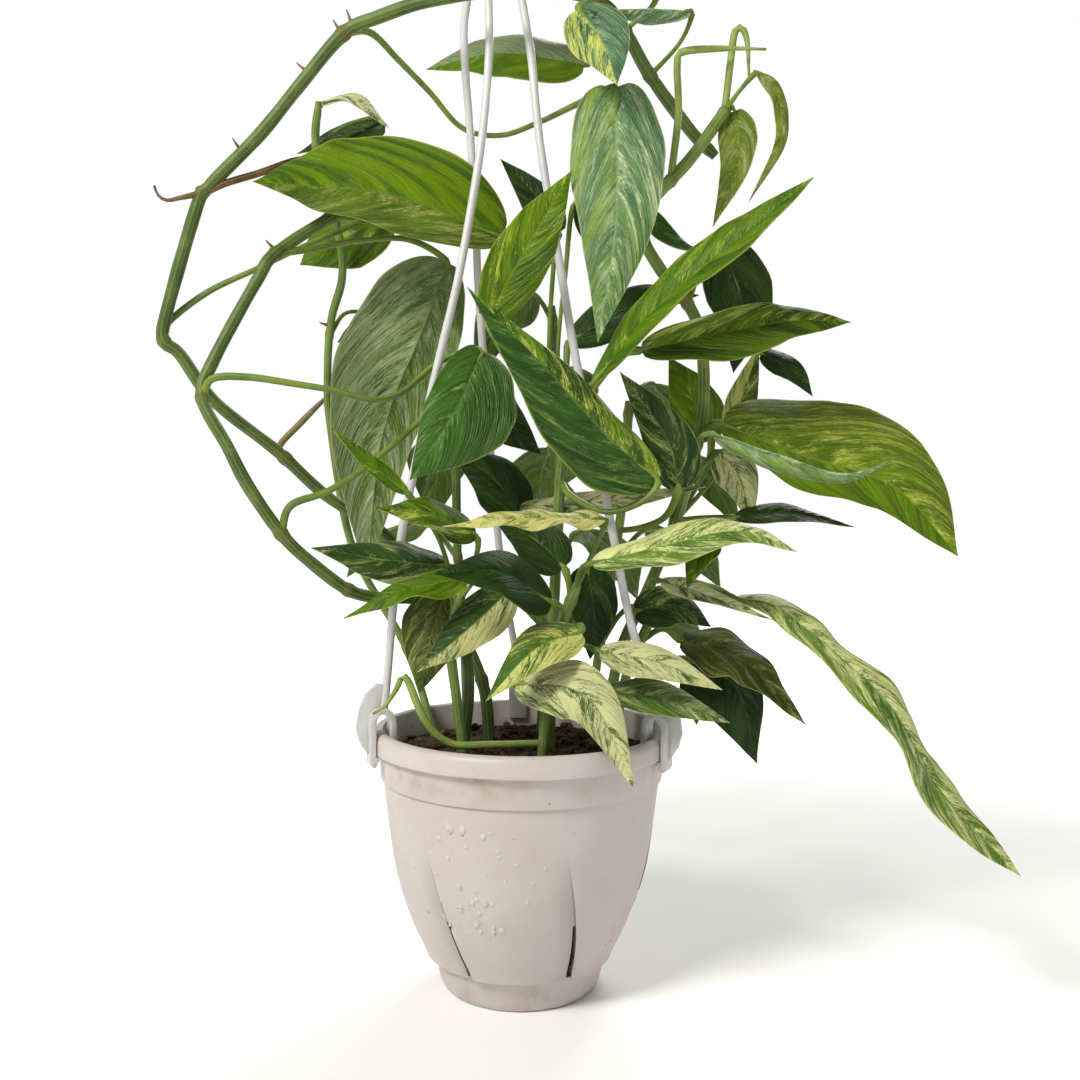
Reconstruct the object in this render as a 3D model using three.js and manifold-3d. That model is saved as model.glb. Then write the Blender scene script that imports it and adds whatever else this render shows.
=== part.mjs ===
// A variegated mint pothos in a white louvred hanging pot with a three-strand plastic hanger.
// Millimetres, +Z up. The origin is the centre of the pot's flat base, and -Y is the front.
import * as THREE from 'three';
import { mergeVertices } from 'three/addons/utils/BufferGeometryUtils.js';
import Module from 'manifold-3d';

const wasm = await Module();
wasm.setup();

// Driving dimensions of the pot
const POT_HEIGHT = 148;
const RIM_RADIUS = 85;
const RIM_DEPTH = 11.5;
const MOUTH_RADIUS = 78.6;
const WALL = 2.2;
const FLOOR = 2.5;
const COLLAR_FOOT = 120;
const BAND_HEIGHT = 19;
const BAND_RADIUS = 49.4;
const BASE_RADIUS = 43;
// Outer radius of the bowl below the collar, as [height, radius]
const BOWL = [[19, 50.6], [32, 58.2], [48, 64.8], [66, 70.4], [80, 73.2], [98, 76], [120, 78.6]];

// Inner radius of the bowl from the floor up to the collar, as [height, radius]
const SIDES_INSIDE = [[FLOOR, 42], [19, 47.2], [32, 56], [66, 68.2], [120, 76.4]];

// The six louvre panels: each left edge stands proud at the foot and fades out upwards
const PANELS = 6;
const COLUMNS_PER_PANEL = 5;
const PANEL_TOP = 98;
const PANEL_PROUD = 2.2;
const FIRST_PANEL = THREE.MathUtils.degToRad(33 - 90);
const PANEL_TWIST = THREE.MathUtils.degToRad(-14);
const SLOT_WIDTH = 3.6;
const SLOT_FOOT = 20.5;
const SLOT_TOP = 54;
const CUT_PAST = 3;

// Soil and the clearances between pieces that touch
const SOIL_TOP = 134;
const SOIL_GAP = 0.6;
const GAP = 0.3;
const JOIN_TOLERANCE = 0.05;
// A stem's foot is a post that much wider than the stem, from below the soil's top to above it
const ROOT_DEPTH = 16;
const ROOT_STAND = 8;
const ROOT_SPREAD = 0.4;
const SOIL_RINGS = [54, 28];

// The hanger's strands, as routes from the clip up to the hub
const STRAND_RADIUS = 2.4;
const STRAND_SIDES = 6;
const STRAND_STEPS = 14;
const CLIP_WIDTH = 11;
const FIN_WIDTH = 3;
const CLIP_AT = { strand_left: 200, strand_right: 335, strand_back: 93 };
const STRANDS = {
  strand_left: [[-76, -27.5, 160], [-74, -27, 176], [-68, -22, 249], [-58, -18, 304], [-46, -14, 360],
    [-36, -11, 405], [-25, -6, 475], [-21, -2, 529], [-22, -1, 570], [-22, -1.5, 593]],
  strand_right: [[73.5, -34.3, 160], [71, -33, 176], [59, -31, 212], [49, -27, 261], [42, -24, 294],
    [29, -18, 353], [19, -13, 410], [8, -7, 476], [2, -4, 529], [-6, -3, 570], [-15, -1.5, 593]],
  strand_back: [[-4.2, 81, 160], [-5, 78, 176], [-14, 66, 230], [-20, 56, 292], [-28, 39, 396],
    [-30, 34, 440], [-33, 25, 491], [-36, 11, 545], [-29, 6, 575], [-20, 4, 593]],
};

// The hub that holds the strands, and the hook above it, drawn in the plane y = 0
const HUB = { x: -19, y: 0, radius: 10, foot: 586, top: 612 };
const HOOK_RADIUS = 2.8;
const HOOK_STEPS = 16;
const HOOK = [[-19, 606], [-19, 620], [-12, 631], [-4, 641], [-3, 653], [-9, 663], [-19, 667],
  [-29, 663], [-35, 654], [-35, 645]];

// Leaf blades: a row for every BLADE_STEP of rib, columns across, and the plate thickness
const BLADE_THICKNESS = 0.8;
const BLADE_STEP = 17;
const WIDE_COLUMNS = [-1, -0.5, 0, 0.5, 1];
const NARROW_COLUMNS = [-1, 0, 1];
const NARROW_WIDTH = 25;
// How a blade is formed unless its row says otherwise: widest is its widest place along the rib,
// fold a V across it, roll how far it arches across, lobe how far its base reaches back, wave the
// height of its edge waves, and lean how much wider its right half is than its left
const LEAF_FORM = { widest: 0.36, fold: 0.14, roll: 0.5, lobe: 0.1, wave: 0, waves: 2, lean: 0 };
// Stalks and stems are tubes with a ring for every STEP of length; a narrow leaf's stalk is thinner
const STALK_RADIUS = 2.1;
const NARROW_STALK = 0.75;
const STALK_SINK = 5;
const STALK_SIDES = 5;
const STEM_SIDES = 6;
const TUBE_STEP = 22;
const TIP_RUN = 3;

// Every leafy stem: its route from the soil, and its leaves with the stalk that carries each.
// rib runs from a blade's base to its tip, face is the way its upper side looks, at one or more
// places along the rib, and width is across the blade laid flat.
const STEMS = {
  vine_inner: {
    radius: 3.6,
    route: [[-35, -10, 136], [-30, -10, 170], [-34, -8, 199], [-43, -10, 216], [-61, -12, 221],
      [-79, -18, 222], [-95, -28, 227], [-114, -38, 243], [-128, -44, 258], [-145, -46, 283],
      [-156, -46, 304], [-171, -40, 330], [-167, -34, 350], [-147, -18, 397], [-139, -10, 413],
      [-113, 16, 440]],
    leaves: {
      broad_left: { stalk: [[-113, 16, 440], [-71, 41, 446], [-40, 48, 443], [-20, 42, 437]],
        rib: [[-13, 17, 429], [-72, 6, 449], [-116, -2, 452], [-151, -12, 452]],
        face: [[0, -0.93, 0.35]], width: 66, lean: 0.32, roll: 0.4, wave: 2 },
      grey_hanging: { stalk: [[-139, -10, 413], [-124, 2, 418], [-99, 24, 428], [-71, 46, 434]],
        rib: [[-48, 50, 421], [-64, 44, 376], [-86, 38, 315], [-94, 32, 229]],
        face: [[-0.2, 0.9, 0.3]], width: 70, widest: 0.48, lean: -0.25, wave: 3 },
      three_corner: { stalk: [[-171, -40, 330], [-165, -42, 340], [-146, -42, 341], [-123, -40, 338],
        [-102, -36, 335], [-82, -26, 331], [-68, -8, 337], [-47, 2, 356]],
        rib: [[-24, -6, 361], [-35, -30, 328], [-60, -42, 287]], face: [[0.3, -0.9, 0.2]],
        width: 52, widest: 0.5, lean: -0.3, lobe: 0.2 },
      shade_centre: { stalk: [[-128, -44, 258], [-123, -44, 273], [-104, -38, 281], [-84, -24, 296],
        [-58, -4, 322], [-44, 6, 340]],
        rib: [[-31, 12, 343], [-11, 16, 323], [10, 28, 304]], face: [[0, -0.9, 0.4]], width: 32 },
    },
  },
  vine_outer: {
    radius: 3.9,
    route: [[-19, 25, 136], [-25, 36, 168], [-52, 50, 215], [-83, 54, 252], [-122, 48, 279],
      [-149, 38, 305], [-181, 18, 333], [-198, 8, 359], [-206, 5, 366], [-205, 5, 381],
      [-187, 5, 443], [-180, 5, 454], [-151, 4, 483], [-128, 2, 510], [-103, 0, 538],
      [-82, -6, 545], [-53, -18, 549], [-17, -26, 551], [18, -26, 551], [40, -18, 549],
      [55, 0, 541], [71, 16, 522], [96, 26, 494], [109, 28, 482]],
    leaves: {
      bright_behind: { stalk: [[-206, 5, 371], [-204, 12, 380], [-183, 16, 397], [-156, 20, 411],
        [-134, 30, 425], [-104, 50, 445], [-88, 62, 459]],
        rib: [[-84, 68, 455], [-113, 70, 441], [-141, 64, 422]], face: [[0, -0.85, 0.5]], width: 54,
        widest: 0.52 },
      rising_stalk: { stalk: [[-146, 40, 301], [-151, 52, 309], [-141, 62, 323], [-126, 70, 340],
        [-113, 76, 350]] },
      dry_root: { stalk: [[-184, 5, 450], [-195, 0, 446], [-202, -2, 444], [-207, -2, 447],
        [-209, -2, 452]] },
      dry_petiole: { stalk: [[-183, 5, 450], [-171, 6, 456], [-152, 12, 464], [-133, 20, 474],
        [-116, 30, 479]] },
      top_grey: { stalk: [[55, 0, 541], [49, 22, 542]],
        rib: [[34, 40, 537], [-16, 38, 543], [-60, 36, 532]], face: [[0, -0.85, 0.5]], width: 44 },
      front_hanging: { stalk: [[-103, 0, 538], [-89, 8, 542], [-74, 24, 532], [-58, 36, 519],
        [-39, 42, 500], [-16, 40, 495], [7, 22, 497], [27, -10, 496]],
        rib: [[47, -42, 494], [48, -54, 425], [39, -52, 359]], face: [[-0.1, -0.95, 0.25]],
        width: 52, widest: 0.27, lobe: 0.28, wave: 2 },
      top_cream: { stalk: [[40, -18, 549], [34, -30, 545]],
        rib: [[28, -42, 535], [40, -56, 512], [47, -62, 488]], face: [[-0.2, -0.95, 0.2]], width: 34 },
      rolled_top: { stalk: [[71, 16, 522], [86, -2, 534]],
        rib: [[90, -20, 543], [61, -32, 539], [31, -52, 529]], face: [[0, -0.8, 0.6]],
        width: 15, roll: 2.2, fold: 0 },
      small_top: { stalk: [[55, 0, 541], [68, -6, 550]],
        rib: [[72, -8, 556], [62, -14, 562], [48, -18, 560]], face: [[0, -0.8, 0.6]], width: 17 },
    },
  },
  stem_left: {
    radius: 2.6,
    route: [[-49, 35, 136], [-74, 66, 182], [-109, 72, 245], [-122, 66, 320], [-123, 60, 356],
      [-120, 56, 387], [-113, 54, 413], [-115, 50, 440], [-127, 45, 487], [-125, 40, 511]],
    leaves: {
      small_green: { stalk: [[-121, 57, 378], [-113, 67, 393], [-97, 71, 393]],
        rib: [[-93, 71, 387], [-108, 72, 383], [-119, 71, 375]], face: [[0, -0.85, 0.5]], width: 13 },
      curled_mint: { stalk: [[-127, 45, 487], [-127, 41, 505]],
        rib: [[-123, 40, 513], [-104, 36, 515], [-82, 34, 497]], face: [[0, -0.5, 0.85]], width: 20 },
      dark_top_left: { stalk: [[-127, 45, 487], [-115, 58, 504], [-97, 68, 514]],
        rib: [[-89, 70, 509], [-117, 68, 503], [-143, 66, 491]], face: [[0, -0.8, 0.6]], width: 24 },
    },
  },
  vine_right: {
    radius: 3.6,
    route: [[46, 20, 136], [56, 15, 184], [72, 5, 226], [87, 0, 266], [98, -2, 309], [102, 0, 337],
      [100, 2, 371], [92, 0, 389], [77, -4, 406], [66, -4, 426], [70, 0, 444], [93, 5, 471],
      [113, 8, 499]],
    leaves: {
      light_folded: { stalk: [[113, 8, 499], [118, 9, 502]],
        rib: [[119, 10, 500], [121, 4, 471], [106, 0, 432]], face: [[-0.5, -0.8, 0.2]],
        width: 24, fold: 0.5 },
      narrow_droop: { stalk: [[113, 8, 499], [120, 0, 508]],
        rib: [[129, -4, 517], [140, -6, 504], [142, -8, 478], [124, -10, 443]],
        face: [[0.3, -0.9, 0.3]], width: 11 },
      bare_stalk: { stalk: [[82, 3, 458], [86, 3, 496], [85, 2, 524], [89, 1, 530], [112, -1, 531],
        [134, -3, 530]] },
      curled_stalk: { stalk: [[113, 8, 499], [116, 8, 527], [118, 7, 543], [122, 6, 545], [125, 5, 536],
        [126, 4, 514]], steps: 8 },
      dark_round: { stalk: [[92, 0, 389], [101, 14, 412], [107, 22, 424]],
        rib: [[115, 24, 427], [127, 22, 392], [122, 20, 352]], face: [[0.1, -0.97, 0.2]], width: 44,
        lobe: 0.2 },
      small_dark: { stalk: [[66, -4, 426]],
        rib: [[65, -14, 440], [79, -17, 422], [98, -17, 414]], face: [[0.2, -0.8, 0.5]], width: 16 },
      grey_right: { stalk: [[100, 2, 371], [124, 26, 376], [136, 40, 374]],
        rib: [[143, 46, 367], [161, 44, 358], [174, 42, 341]], face: [[0, -0.8, 0.6]], width: 20 },
      big_right: { stalk: [[98, -2, 309], [102, -8, 318]],
        rib: [[110, -14, 320], [154, -18, 303], [203, -24, 286], [238, -28, 248]],
        face: [[0.1, -0.93, 0.35]], width: 64, widest: 0.58, lean: -0.4, wave: 2.5, roll: 0.6 },
      rolled_right: { stalk: [[98, -2, 309], [98, -24, 313]],
        rib: [[102, -38, 313], [132, -50, 301], [166, -56, 291], [191, -56, 298]],
        face: [[0, -0.8, 0.6]], width: 18, roll: 2.2, fold: 0 },
      mottled_low: { stalk: [[92, -1, 286], [105, 4, 300]],
        rib: [[112, 6, 306], [125, 8, 290], [131, 6, 264]], face: [[0.1, -0.95, 0.3]], width: 27 },
      bright_back: { stalk: [[87, 0, 266], [108, 30, 296]],
        rib: [[113, 42, 314], [101, 46, 341], [87, 48, 365]], face: [[0, -0.95, 0.3]], width: 34 },
      cream_scrap: { stalk: [[87, 0, 266], [112, 22, 292]],
        rib: [[124, 40, 317], [133, 44, 344], [142, 46, 372]], face: [[-0.2, -0.95, 0.2]], width: 19 },
      dark_low_right: { stalk: [[87, 0, 266], [104, 2, 268]],
        rib: [[121, 2, 268], [152, 2, 271], [188, -2, 263]], face: [[0, -0.7, 0.7]], width: 17 },
    },
  },
  stem_right: {
    radius: 3,
    route: [[51, -5, 136], [57, -8, 170], [67, -8, 198], [79, -8, 221], [94, -10, 232]],
    leaves: {
      ribbon: { stalk: [[94, -10, 232], [108, -22, 229]],
        rib: [[116, -30, 224], [137, -35, 221], [154, -41, 208], [174, -48, 191], [194, -54, 171],
          [207, -58, 149], [218, -61, 128], [238, -64, 106], [260, -66, 84]],
        face: [[0, -0.6, 0.8], [0.5, -0.8, 0.5], [0.6, -0.7, 0.4], [0.6, -0.8, 0.5], [0.8, -0.6, 0.3],
          [0.6, -0.8, 0.5], [0.3, -0.9, 0.5]],
        width: 31, widest: 0.76, wave: 1.5, waves: 4 },
      pale_sheath: { stalk: [[79, -8, 221], [70, -24, 232]],
        rib: [[75, -36, 234], [96, -41, 228], [134, -45, 214]], face: [[0.3, -0.8, 0.5]], width: 13 },
      olive_cream: { stalk: [[67, -8, 198], [80, -2, 204]],
        rib: [[91, 4, 197], [128, 2, 185], [162, -4, 150]], face: [[0.3, -0.7, 0.65]],
        width: 35, wave: 3, waves: 3 },
      dark_low: { stalk: [[57, -8, 170], [82, 12, 182], [92, 20, 184]],
        rib: [[99, 26, 182], [127, 24, 166], [139, 20, 122]], face: [[0.3, -0.9, 0.3]], width: 56,
        lean: 0.25 },
      shade_right: { stalk: [[66, -8, 196], [60, -18, 210]],
        rib: [[62, -24, 216], [84, -26, 220], [104, -26, 208]], face: [[0, -0.8, 0.6]], width: 28 },
      small_lime: { stalk: [[94, -10, 232], [102, -34, 254]],
        rib: [[102, -46, 257], [93, -52, 248], [87, -52, 231]], face: [[-0.4, -0.8, 0.4]], width: 18 },
    },
  },
  stem_front: {
    radius: 3.2,
    route: [[11, -25, 136], [14, -30, 168], [19, -32, 201], [29, -36, 229]],
    leaves: {
      whitish_mint: { stalk: [[29, -36, 229], [31, -46, 240]],
        rib: [[37, -52, 244], [74, -60, 254], [112, -64, 262], [143, -60, 251]],
        face: [[0, -0.75, 0.7]], width: 25, wave: 2 },
      nearly_white: { stalk: [[19, -32, 201], [31, -46, 201]],
        rib: [[41, -55, 198], [73, -62, 193], [104, -66, 180]], face: [[0, -0.75, 0.65]], width: 23 },
      grey_green: { stalk: [[14, -30, 168], [31, -36, 178]],
        rib: [[46, -45, 176], [79, -53, 172], [110, -56, 161]], face: [[0, -0.8, 0.6]], width: 22 },
      over_rim: { stalk: [[14, -30, 168], [-1, -46, 178]],
        rib: [[-2, -55, 181], [34, -80, 178], [58, -84, 133]], face: [[-0.2, -0.85, 0.5]],
        width: 32, wave: 2 },
      cream_green: { stalk: [[19, -32, 201], [30, -52, 211]],
        rib: [[31, -62, 209], [8, -76, 202], [-17, -82, 176]], face: [[-0.1, -0.8, 0.6]], width: 28 },
      cream_patch: { stalk: [[19, -32, 201], [2, -40, 224]],
        rib: [[-5, -46, 230], [-27, -58, 210], [-54, -60, 187]], face: [[0.2, -0.85, 0.5]], width: 28,
        wave: 2 },
      solid_green: { stalk: [[19, -32, 201], [22, -50, 218]],
        rib: [[16, -62, 224], [-10, -80, 241], [-43, -86, 240]], face: [[-0.1, -0.75, 0.65]],
        width: 34 },
      shade_front: { stalk: [[27, -35, 223], [25, -28, 234]],
        rib: [[23, -26, 240], [6, -23, 256], [-16, -20, 266]], face: [[0, -0.85, 0.5]], width: 32 },
      cream_wavy: { stalk: [[29, -36, 229], [40, -40, 254]],
        rib: [[44, -46, 267], [4, -64, 268], [-40, -72, 263]], face: [[0, -0.7, 0.7]],
        width: 15, wave: 2.5, waves: 3 },
      low_runner: { stalk: [[12, -26, 143], [-17, -40, 145], [-38, -46, 147], [-51, -50, 161],
        [-61, -50, 183], [-66, -50, 176], [-72, -47, 167], [-79, -43, 162]] },
    },
  },
  stem_front_left: {
    radius: 3,
    route: [[-29, -30, 136], [-35, -34, 168], [-38, -38, 201], [-32, -40, 228]],
    leaves: {
      dark_mint: { stalk: [[-38, -38, 201], [-32, -40, 232]],
        rib: [[-39, -42, 241], [-72, -50, 245], [-110, -54, 251]], face: [[0, -0.75, 0.7]], width: 32 },
      lime_low: { stalk: [[-33, -40, 224], [-26, -52, 233]],
        rib: [[-27, -60, 236], [-58, -70, 231], [-90, -72, 216]], face: [[-0.1, -0.7, 0.7]],
        width: 18, wave: 2 },
      narrow_lime: { stalk: [[-34, -39, 219], [-44, -46, 256]],
        rib: [[-60, -52, 280], [-78, -56, 295], [-99, -56, 313]], face: [[-0.3, -0.8, 0.5]],
        width: 10 },
      lime_dark: { stalk: [[-32, -40, 228], [-24, -44, 248]],
        rib: [[-24, -48, 258], [-48, -60, 270], [-75, -64, 272]], face: [[0, -0.75, 0.65]],
        width: 24, wave: 2 },
      dark_cream: { stalk: [[-38, -38, 201], [-37, -32, 222]],
        rib: [[-42, -28, 226], [-50, -32, 200], [-55, -36, 172]], face: [[-0.1, -0.97, 0.1]],
        width: 38 },
    },
  },
  stem_centre: {
    radius: 3.4,
    route: [[16, 10, 136], [17, 12, 184], [19, 8, 242], [21, -4, 288], [25, -24, 312],
      [34, -38, 333]],
    leaves: {
      large_diagonal: { stalk: [[21, -4, 288], [27, -22, 279], [45, -39, 271], [64, -43, 277]],
        rib: [[72, -42, 288], [42, -50, 313], [11, -58, 346], [-29, -60, 386]],
        face: [[-0.15, -0.9, 0.45]], width: 42, lean: -0.35, wave: 2 },
      tall_streaked: { stalk: [[34, -38, 333], [36, -44, 337]],
        rib: [[37, -48, 339], [68, -58, 376], [105, -68, 407], [144, -78, 438]],
        face: [[-0.5, -0.75, 0.5]], width: 27, widest: 0.68, fold: 0.4 },
      bright_right: { stalk: [[34, -38, 333], [52, -34, 354]],
        rib: [[63, -34, 358], [113, -40, 368], [144, -43, 373], [173, -44, 372]],
        face: [[0, -0.85, 0.5]], width: 34, wave: 1.5 },
      mint_behind: { stalk: [[19, 8, 242], [2, 8, 268]],
        rib: [[-2, 6, 273], [49, 2, 277], [101, -20, 285]], face: [[0, -0.7, 0.7]], width: 18 },
      lime_upright: { stalk: [[25, -24, 312], [-2, -26, 343]],
        rib: [[-20, -32, 374], [4, -46, 414], [25, -50, 449]], face: [[0.2, -0.95, 0.2]],
        width: 33, wave: 2, waves: 3 },
      shade_middle: { stalk: [[19, 8, 246], [6, 10, 260]],
        rib: [[0, 8, 266], [-18, 6, 290], [-42, 4, 303]], face: [[0, -0.9, 0.4]], width: 34 },
      shade_low: { stalk: [[17, 12, 186], [30, -2, 215]],
        rib: [[36, -10, 240], [40, -14, 215], [38, -18, 188]], face: [[0, -0.95, 0.3]], width: 30 },
      dark_behind: { stalk: [[19, 8, 242], [16, 30, 319], [14, 38, 367], [17, 40, 424]],
        rib: [[20, 42, 438], [4, 44, 462], [-16, 44, 482]], face: [[0, -0.85, 0.5]], width: 25 },
      dark_right: { stalk: [[21, -4, 288], [24, 20, 352]],
        rib: [[26, 26, 370], [67, 24, 394], [102, 24, 398]], face: [[0, -0.8, 0.6]], width: 34 },
      dark_stripe: { stalk: [[21, -4, 288], [46, -12, 262], [76, -18, 266]],
        rib: [[86, -20, 284], [78, -26, 312], [52, -30, 347]], face: [[-0.4, -0.9, 0.1]], width: 32 },
      hidden_hanging: { stalk: [[21, -4, 288], [19, 8, 359], [23, 6, 407], [26, 2, 440]],
        rib: [[30, -2, 444], [42, 0, 427], [47, 2, 398]], face: [[0, -0.95, 0.3]], width: 22 },
    },
  },
};

// The far side: three stems stand behind, and each leaf leaves its stem at the height foot, turned
// that many degrees from the +X axis, with a stalk, a length and width, and a drop to its tip
const BACK_STEMS = {
  stem_back_left: {
    route: [[-34, 52, 136], [-37, 58, 180], [-42, 66, 240], [-44, 70, 300], [-46, 68, 350],
      [-50, 66, 392]],
    leaves: [
      { foot: 190, turn: 108, stalk: 34, length: 82, width: 46, drop: 42 },
      { foot: 240, turn: 137, stalk: 40, length: 84, width: 46, drop: 40 },
      { foot: 298, turn: 103, stalk: 42, length: 94, width: 52, drop: 60 },
      { foot: 346, turn: 146, stalk: 36, length: 84, width: 46, drop: 56 },
      { foot: 388, turn: 118, stalk: 34, length: 84, width: 46, drop: 38 },
    ],
  },
  stem_back: {
    route: [[10, 52, 136], [14, 58, 180], [20, 66, 240], [22, 70, 300], [20, 72, 350],
      [16, 70, 395]],
    leaves: [
      { foot: 186, turn: 82, stalk: 34, length: 82, width: 46, drop: 40 },
      { foot: 236, turn: 58, stalk: 40, length: 90, width: 50, drop: 52 },
      { foot: 290, turn: 98, stalk: 44, length: 94, width: 52, drop: 58 },
      { foot: 344, turn: 84, stalk: 38, length: 88, width: 46, drop: 52 },
      { foot: 390, turn: 122, stalk: 34, length: 84, width: 44, drop: 50 },
    ],
  },
  stem_back_right: {
    route: [[40, 46, 136], [46, 52, 180], [56, 58, 240], [62, 60, 290], [64, 60, 335]],
    leaves: [
      { foot: 188, turn: 40, stalk: 32, length: 76, width: 42, drop: 34 },
      { foot: 238, turn: 46, stalk: 44, length: 84, width: 46, drop: 44 },
      { foot: 288, turn: 34, stalk: 40, length: 84, width: 46, drop: 56 },
      { foot: 331, turn: 60, stalk: 36, length: 86, width: 46, drop: 46 },
    ],
  },
};
const BACK_RADIUS = 3;
const BACK_LIFT = 18;

const MATERIALS = {
  pot: { color: 0xe9e2dc, roughness: 0.45 },
  hanger: { color: 0xf0efec, roughness: 0.35 },
  soil: { color: 0x3d2a1e, roughness: 0.95 },
  leaves: { color: 0x4f8a33, roughness: 0.4 },
};

function material(name) {
  return new THREE.MeshStandardMaterial({ ...MATERIALS[name], metalness: 0 });
}

function lerpTable(table, at) {
  const next = table.findIndex(([key]) => key >= at);
  if (next <= 0) return table[next === 0 ? 0 : table.length - 1][1];
  const [key0, value0] = table[next - 1];
  const [key1, value1] = table[next];
  return value0 + (value1 - value0) * (at - key0) / (key1 - key0);
}

// Position and index only, shared corners merged, and triangles that closed up dropped
function welded(geometry) {
  const bare = geometry.clone();
  bare.deleteAttribute('normal');
  bare.deleteAttribute('uv');
  const merged = mergeVertices(bare, 1e-4);
  const index = merged.index.array;
  const kept = [];
  for (let i = 0; i < index.length; i += 3) {
    const [a, b, c] = [index[i], index[i + 1], index[i + 2]];
    if (a !== b && b !== c && c !== a) kept.push(a, b, c);
  }
  merged.setIndex(kept);
  return merged;
}

function toSolid(geometry) {
  const mesh = welded(geometry);
  return new wasm.Manifold(new wasm.Mesh({
    numProp: 3,
    vertProperties: new Float32Array(mesh.attributes.position.array),
    triVerts: new Uint32Array(mesh.index.array),
  }));
}

// The slivers that cuts and joins leave are evened out
function evened(solid) {
  return solid.asOriginal().simplify(JOIN_TOLERANCE);
}

function toGeometry(solid) {
  const { vertProperties, triVerts } = solid.getMesh();
  const geometry = new THREE.BufferGeometry();
  geometry.setAttribute('position', new THREE.BufferAttribute(new Float32Array(vertProperties), 3));
  geometry.setIndex(new THREE.BufferAttribute(new Uint32Array(triVerts), 1));
  geometry.computeVertexNormals();
  return geometry;
}

// The largest shell of a joined node: what fusing sealed is filled, and loose scraps are dropped
function largestShell(solid) {
  const { vertProperties, triVerts } = solid.getMesh();
  const owner = Array.from({ length: vertProperties.length / 3 }, (_, i) => i);
  const find = (i) => {
    while (owner[i] !== i) i = owner[i] = owner[owner[i]];
    return i;
  };
  for (let i = 0; i < triVerts.length; i += 3) {
    owner[find(triVerts[i])] = find(triVerts[i + 1]);
    owner[find(triVerts[i + 1])] = find(triVerts[i + 2]);
  }
  const shells = new Map();
  for (let i = 0; i < triVerts.length; i += 3) {
    const shell = find(triVerts[i]);
    if (!shells.has(shell)) shells.set(shell, []);
    shells.get(shell).push(triVerts[i], triVerts[i + 1], triVerts[i + 2]);
  }
  const largest = [...shells.values()].reduce((a, b) => (b.length > a.length ? b : a));
  const geometry = new THREE.BufferGeometry();
  geometry.setAttribute('position', new THREE.BufferAttribute(new Float32Array(vertProperties), 3));
  geometry.setIndex(largest);
  return toGeometry(toSolid(geometry));
}

function join(solids) {
  return solids.reduce((whole, next) => whole.add(next));
}

function curveThrough(points) {
  return new THREE.CatmullRomCurve3(points.map((p) => new THREE.Vector3(...p)), false, 'catmullrom', 0.5);
}

function roundSection(radius, sides) {
  const corners = Array.from({ length: sides }, (_, i) => {
    const turn = (2 * Math.PI * i) / sides;
    return new THREE.Vector2(radius * Math.cos(turn), radius * Math.sin(turn));
  });
  return new THREE.Shape(corners);
}

function tube(points, radius, sides, steps) {
  return toSolid(new THREE.ExtrudeGeometry(roundSection(radius, sides), {
    extrudePath: curveThrough(points), steps, bevelEnabled: false,
  }));
}

// A closed mesh from rings of equal count, the first and last closed by a fan to their centre
function skinOfRings(rings) {
  const count = rings[0].length;
  const points = rings.flat();
  const index = [];
  for (let row = 0; row + 1 < rings.length; row += 1) {
    for (let i = 0; i < count; i += 1) {
      const a = row * count + i;
      const b = row * count + ((i + 1) % count);
      index.push(a, b, b + count, a, b + count, a + count);
    }
  }
  const centreOf = (ring) => ring.reduce((sum, p) => sum.add(p), new THREE.Vector3())
    .divideScalar(count);
  const first = points.push(centreOf(rings[0])) - 1;
  const last = points.push(centreOf(rings[rings.length - 1])) - 1;
  const lastRow = (rings.length - 1) * count;
  for (let i = 0; i < count; i += 1) {
    const j = (i + 1) % count;
    index.push(first, j, i, last, lastRow + i, lastRow + j);
  }
  const geometry = new THREE.BufferGeometry().setFromPoints(points);
  geometry.setIndex(index);
  return geometry;
}

// Pot: how far round a panel's edge has turned at a height, and how proud it stands there
function panelTurn(height) {
  const rise = THREE.MathUtils.clamp((height - BAND_HEIGHT) / (PANEL_TOP - BAND_HEIGHT), 0, 1);
  return PANEL_TWIST * rise;
}

function panelProud(height) {
  const rise = THREE.MathUtils.clamp((height - BAND_HEIGHT) / (PANEL_TOP - BAND_HEIGHT), 0, 1);
  return PANEL_PROUD * (1 - rise) ** 1.3;
}

function bowlRadius(height) {
  if (height >= COLLAR_FOOT) return BOWL[BOWL.length - 1][1];
  return lerpTable(BOWL, height);
}

// One ring of the pot: each panel starts proud at its edge and tucks in towards the next
function potRing(radius, height, proud, turn = panelTurn(height)) {
  const ring = [];
  for (let panel = 0; panel < PANELS; panel += 1) {
    for (let column = 0; column <= COLUMNS_PER_PANEL; column += 1) {
      const across = column / COLUMNS_PER_PANEL;
      const angle = FIRST_PANEL + turn + (2 * Math.PI * (panel + across)) / PANELS;
      const reach = radius + proud * (1 - across);
      ring.push(new THREE.Vector3(reach * Math.cos(angle), reach * Math.sin(angle), height));
    }
  }
  return ring;
}

// The narrow wedge left of a proud edge, open through the wall
function slotCutter(panel) {
  const heights = [SLOT_FOOT, (SLOT_FOOT + SLOT_TOP) / 2, SLOT_TOP];
  const rings = heights.map((height) => {
    const width = SLOT_WIDTH * (PANEL_TOP - height) / (PANEL_TOP - BAND_HEIGHT);
    const edge = FIRST_PANEL + panelTurn(height) + (2 * Math.PI * panel) / PANELS;
    const inner = bowlRadius(height) - WALL - CUT_PAST;
    const outer = bowlRadius(height) + PANEL_PROUD + CUT_PAST;
    const start = edge - width / bowlRadius(height);
    return [[inner, start], [outer, start], [outer, edge], [inner, edge]].map(([radius, angle]) => (
      new THREE.Vector3(radius * Math.cos(angle), radius * Math.sin(angle), height)));
  });
  return toSolid(skinOfRings(rings));
}

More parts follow.
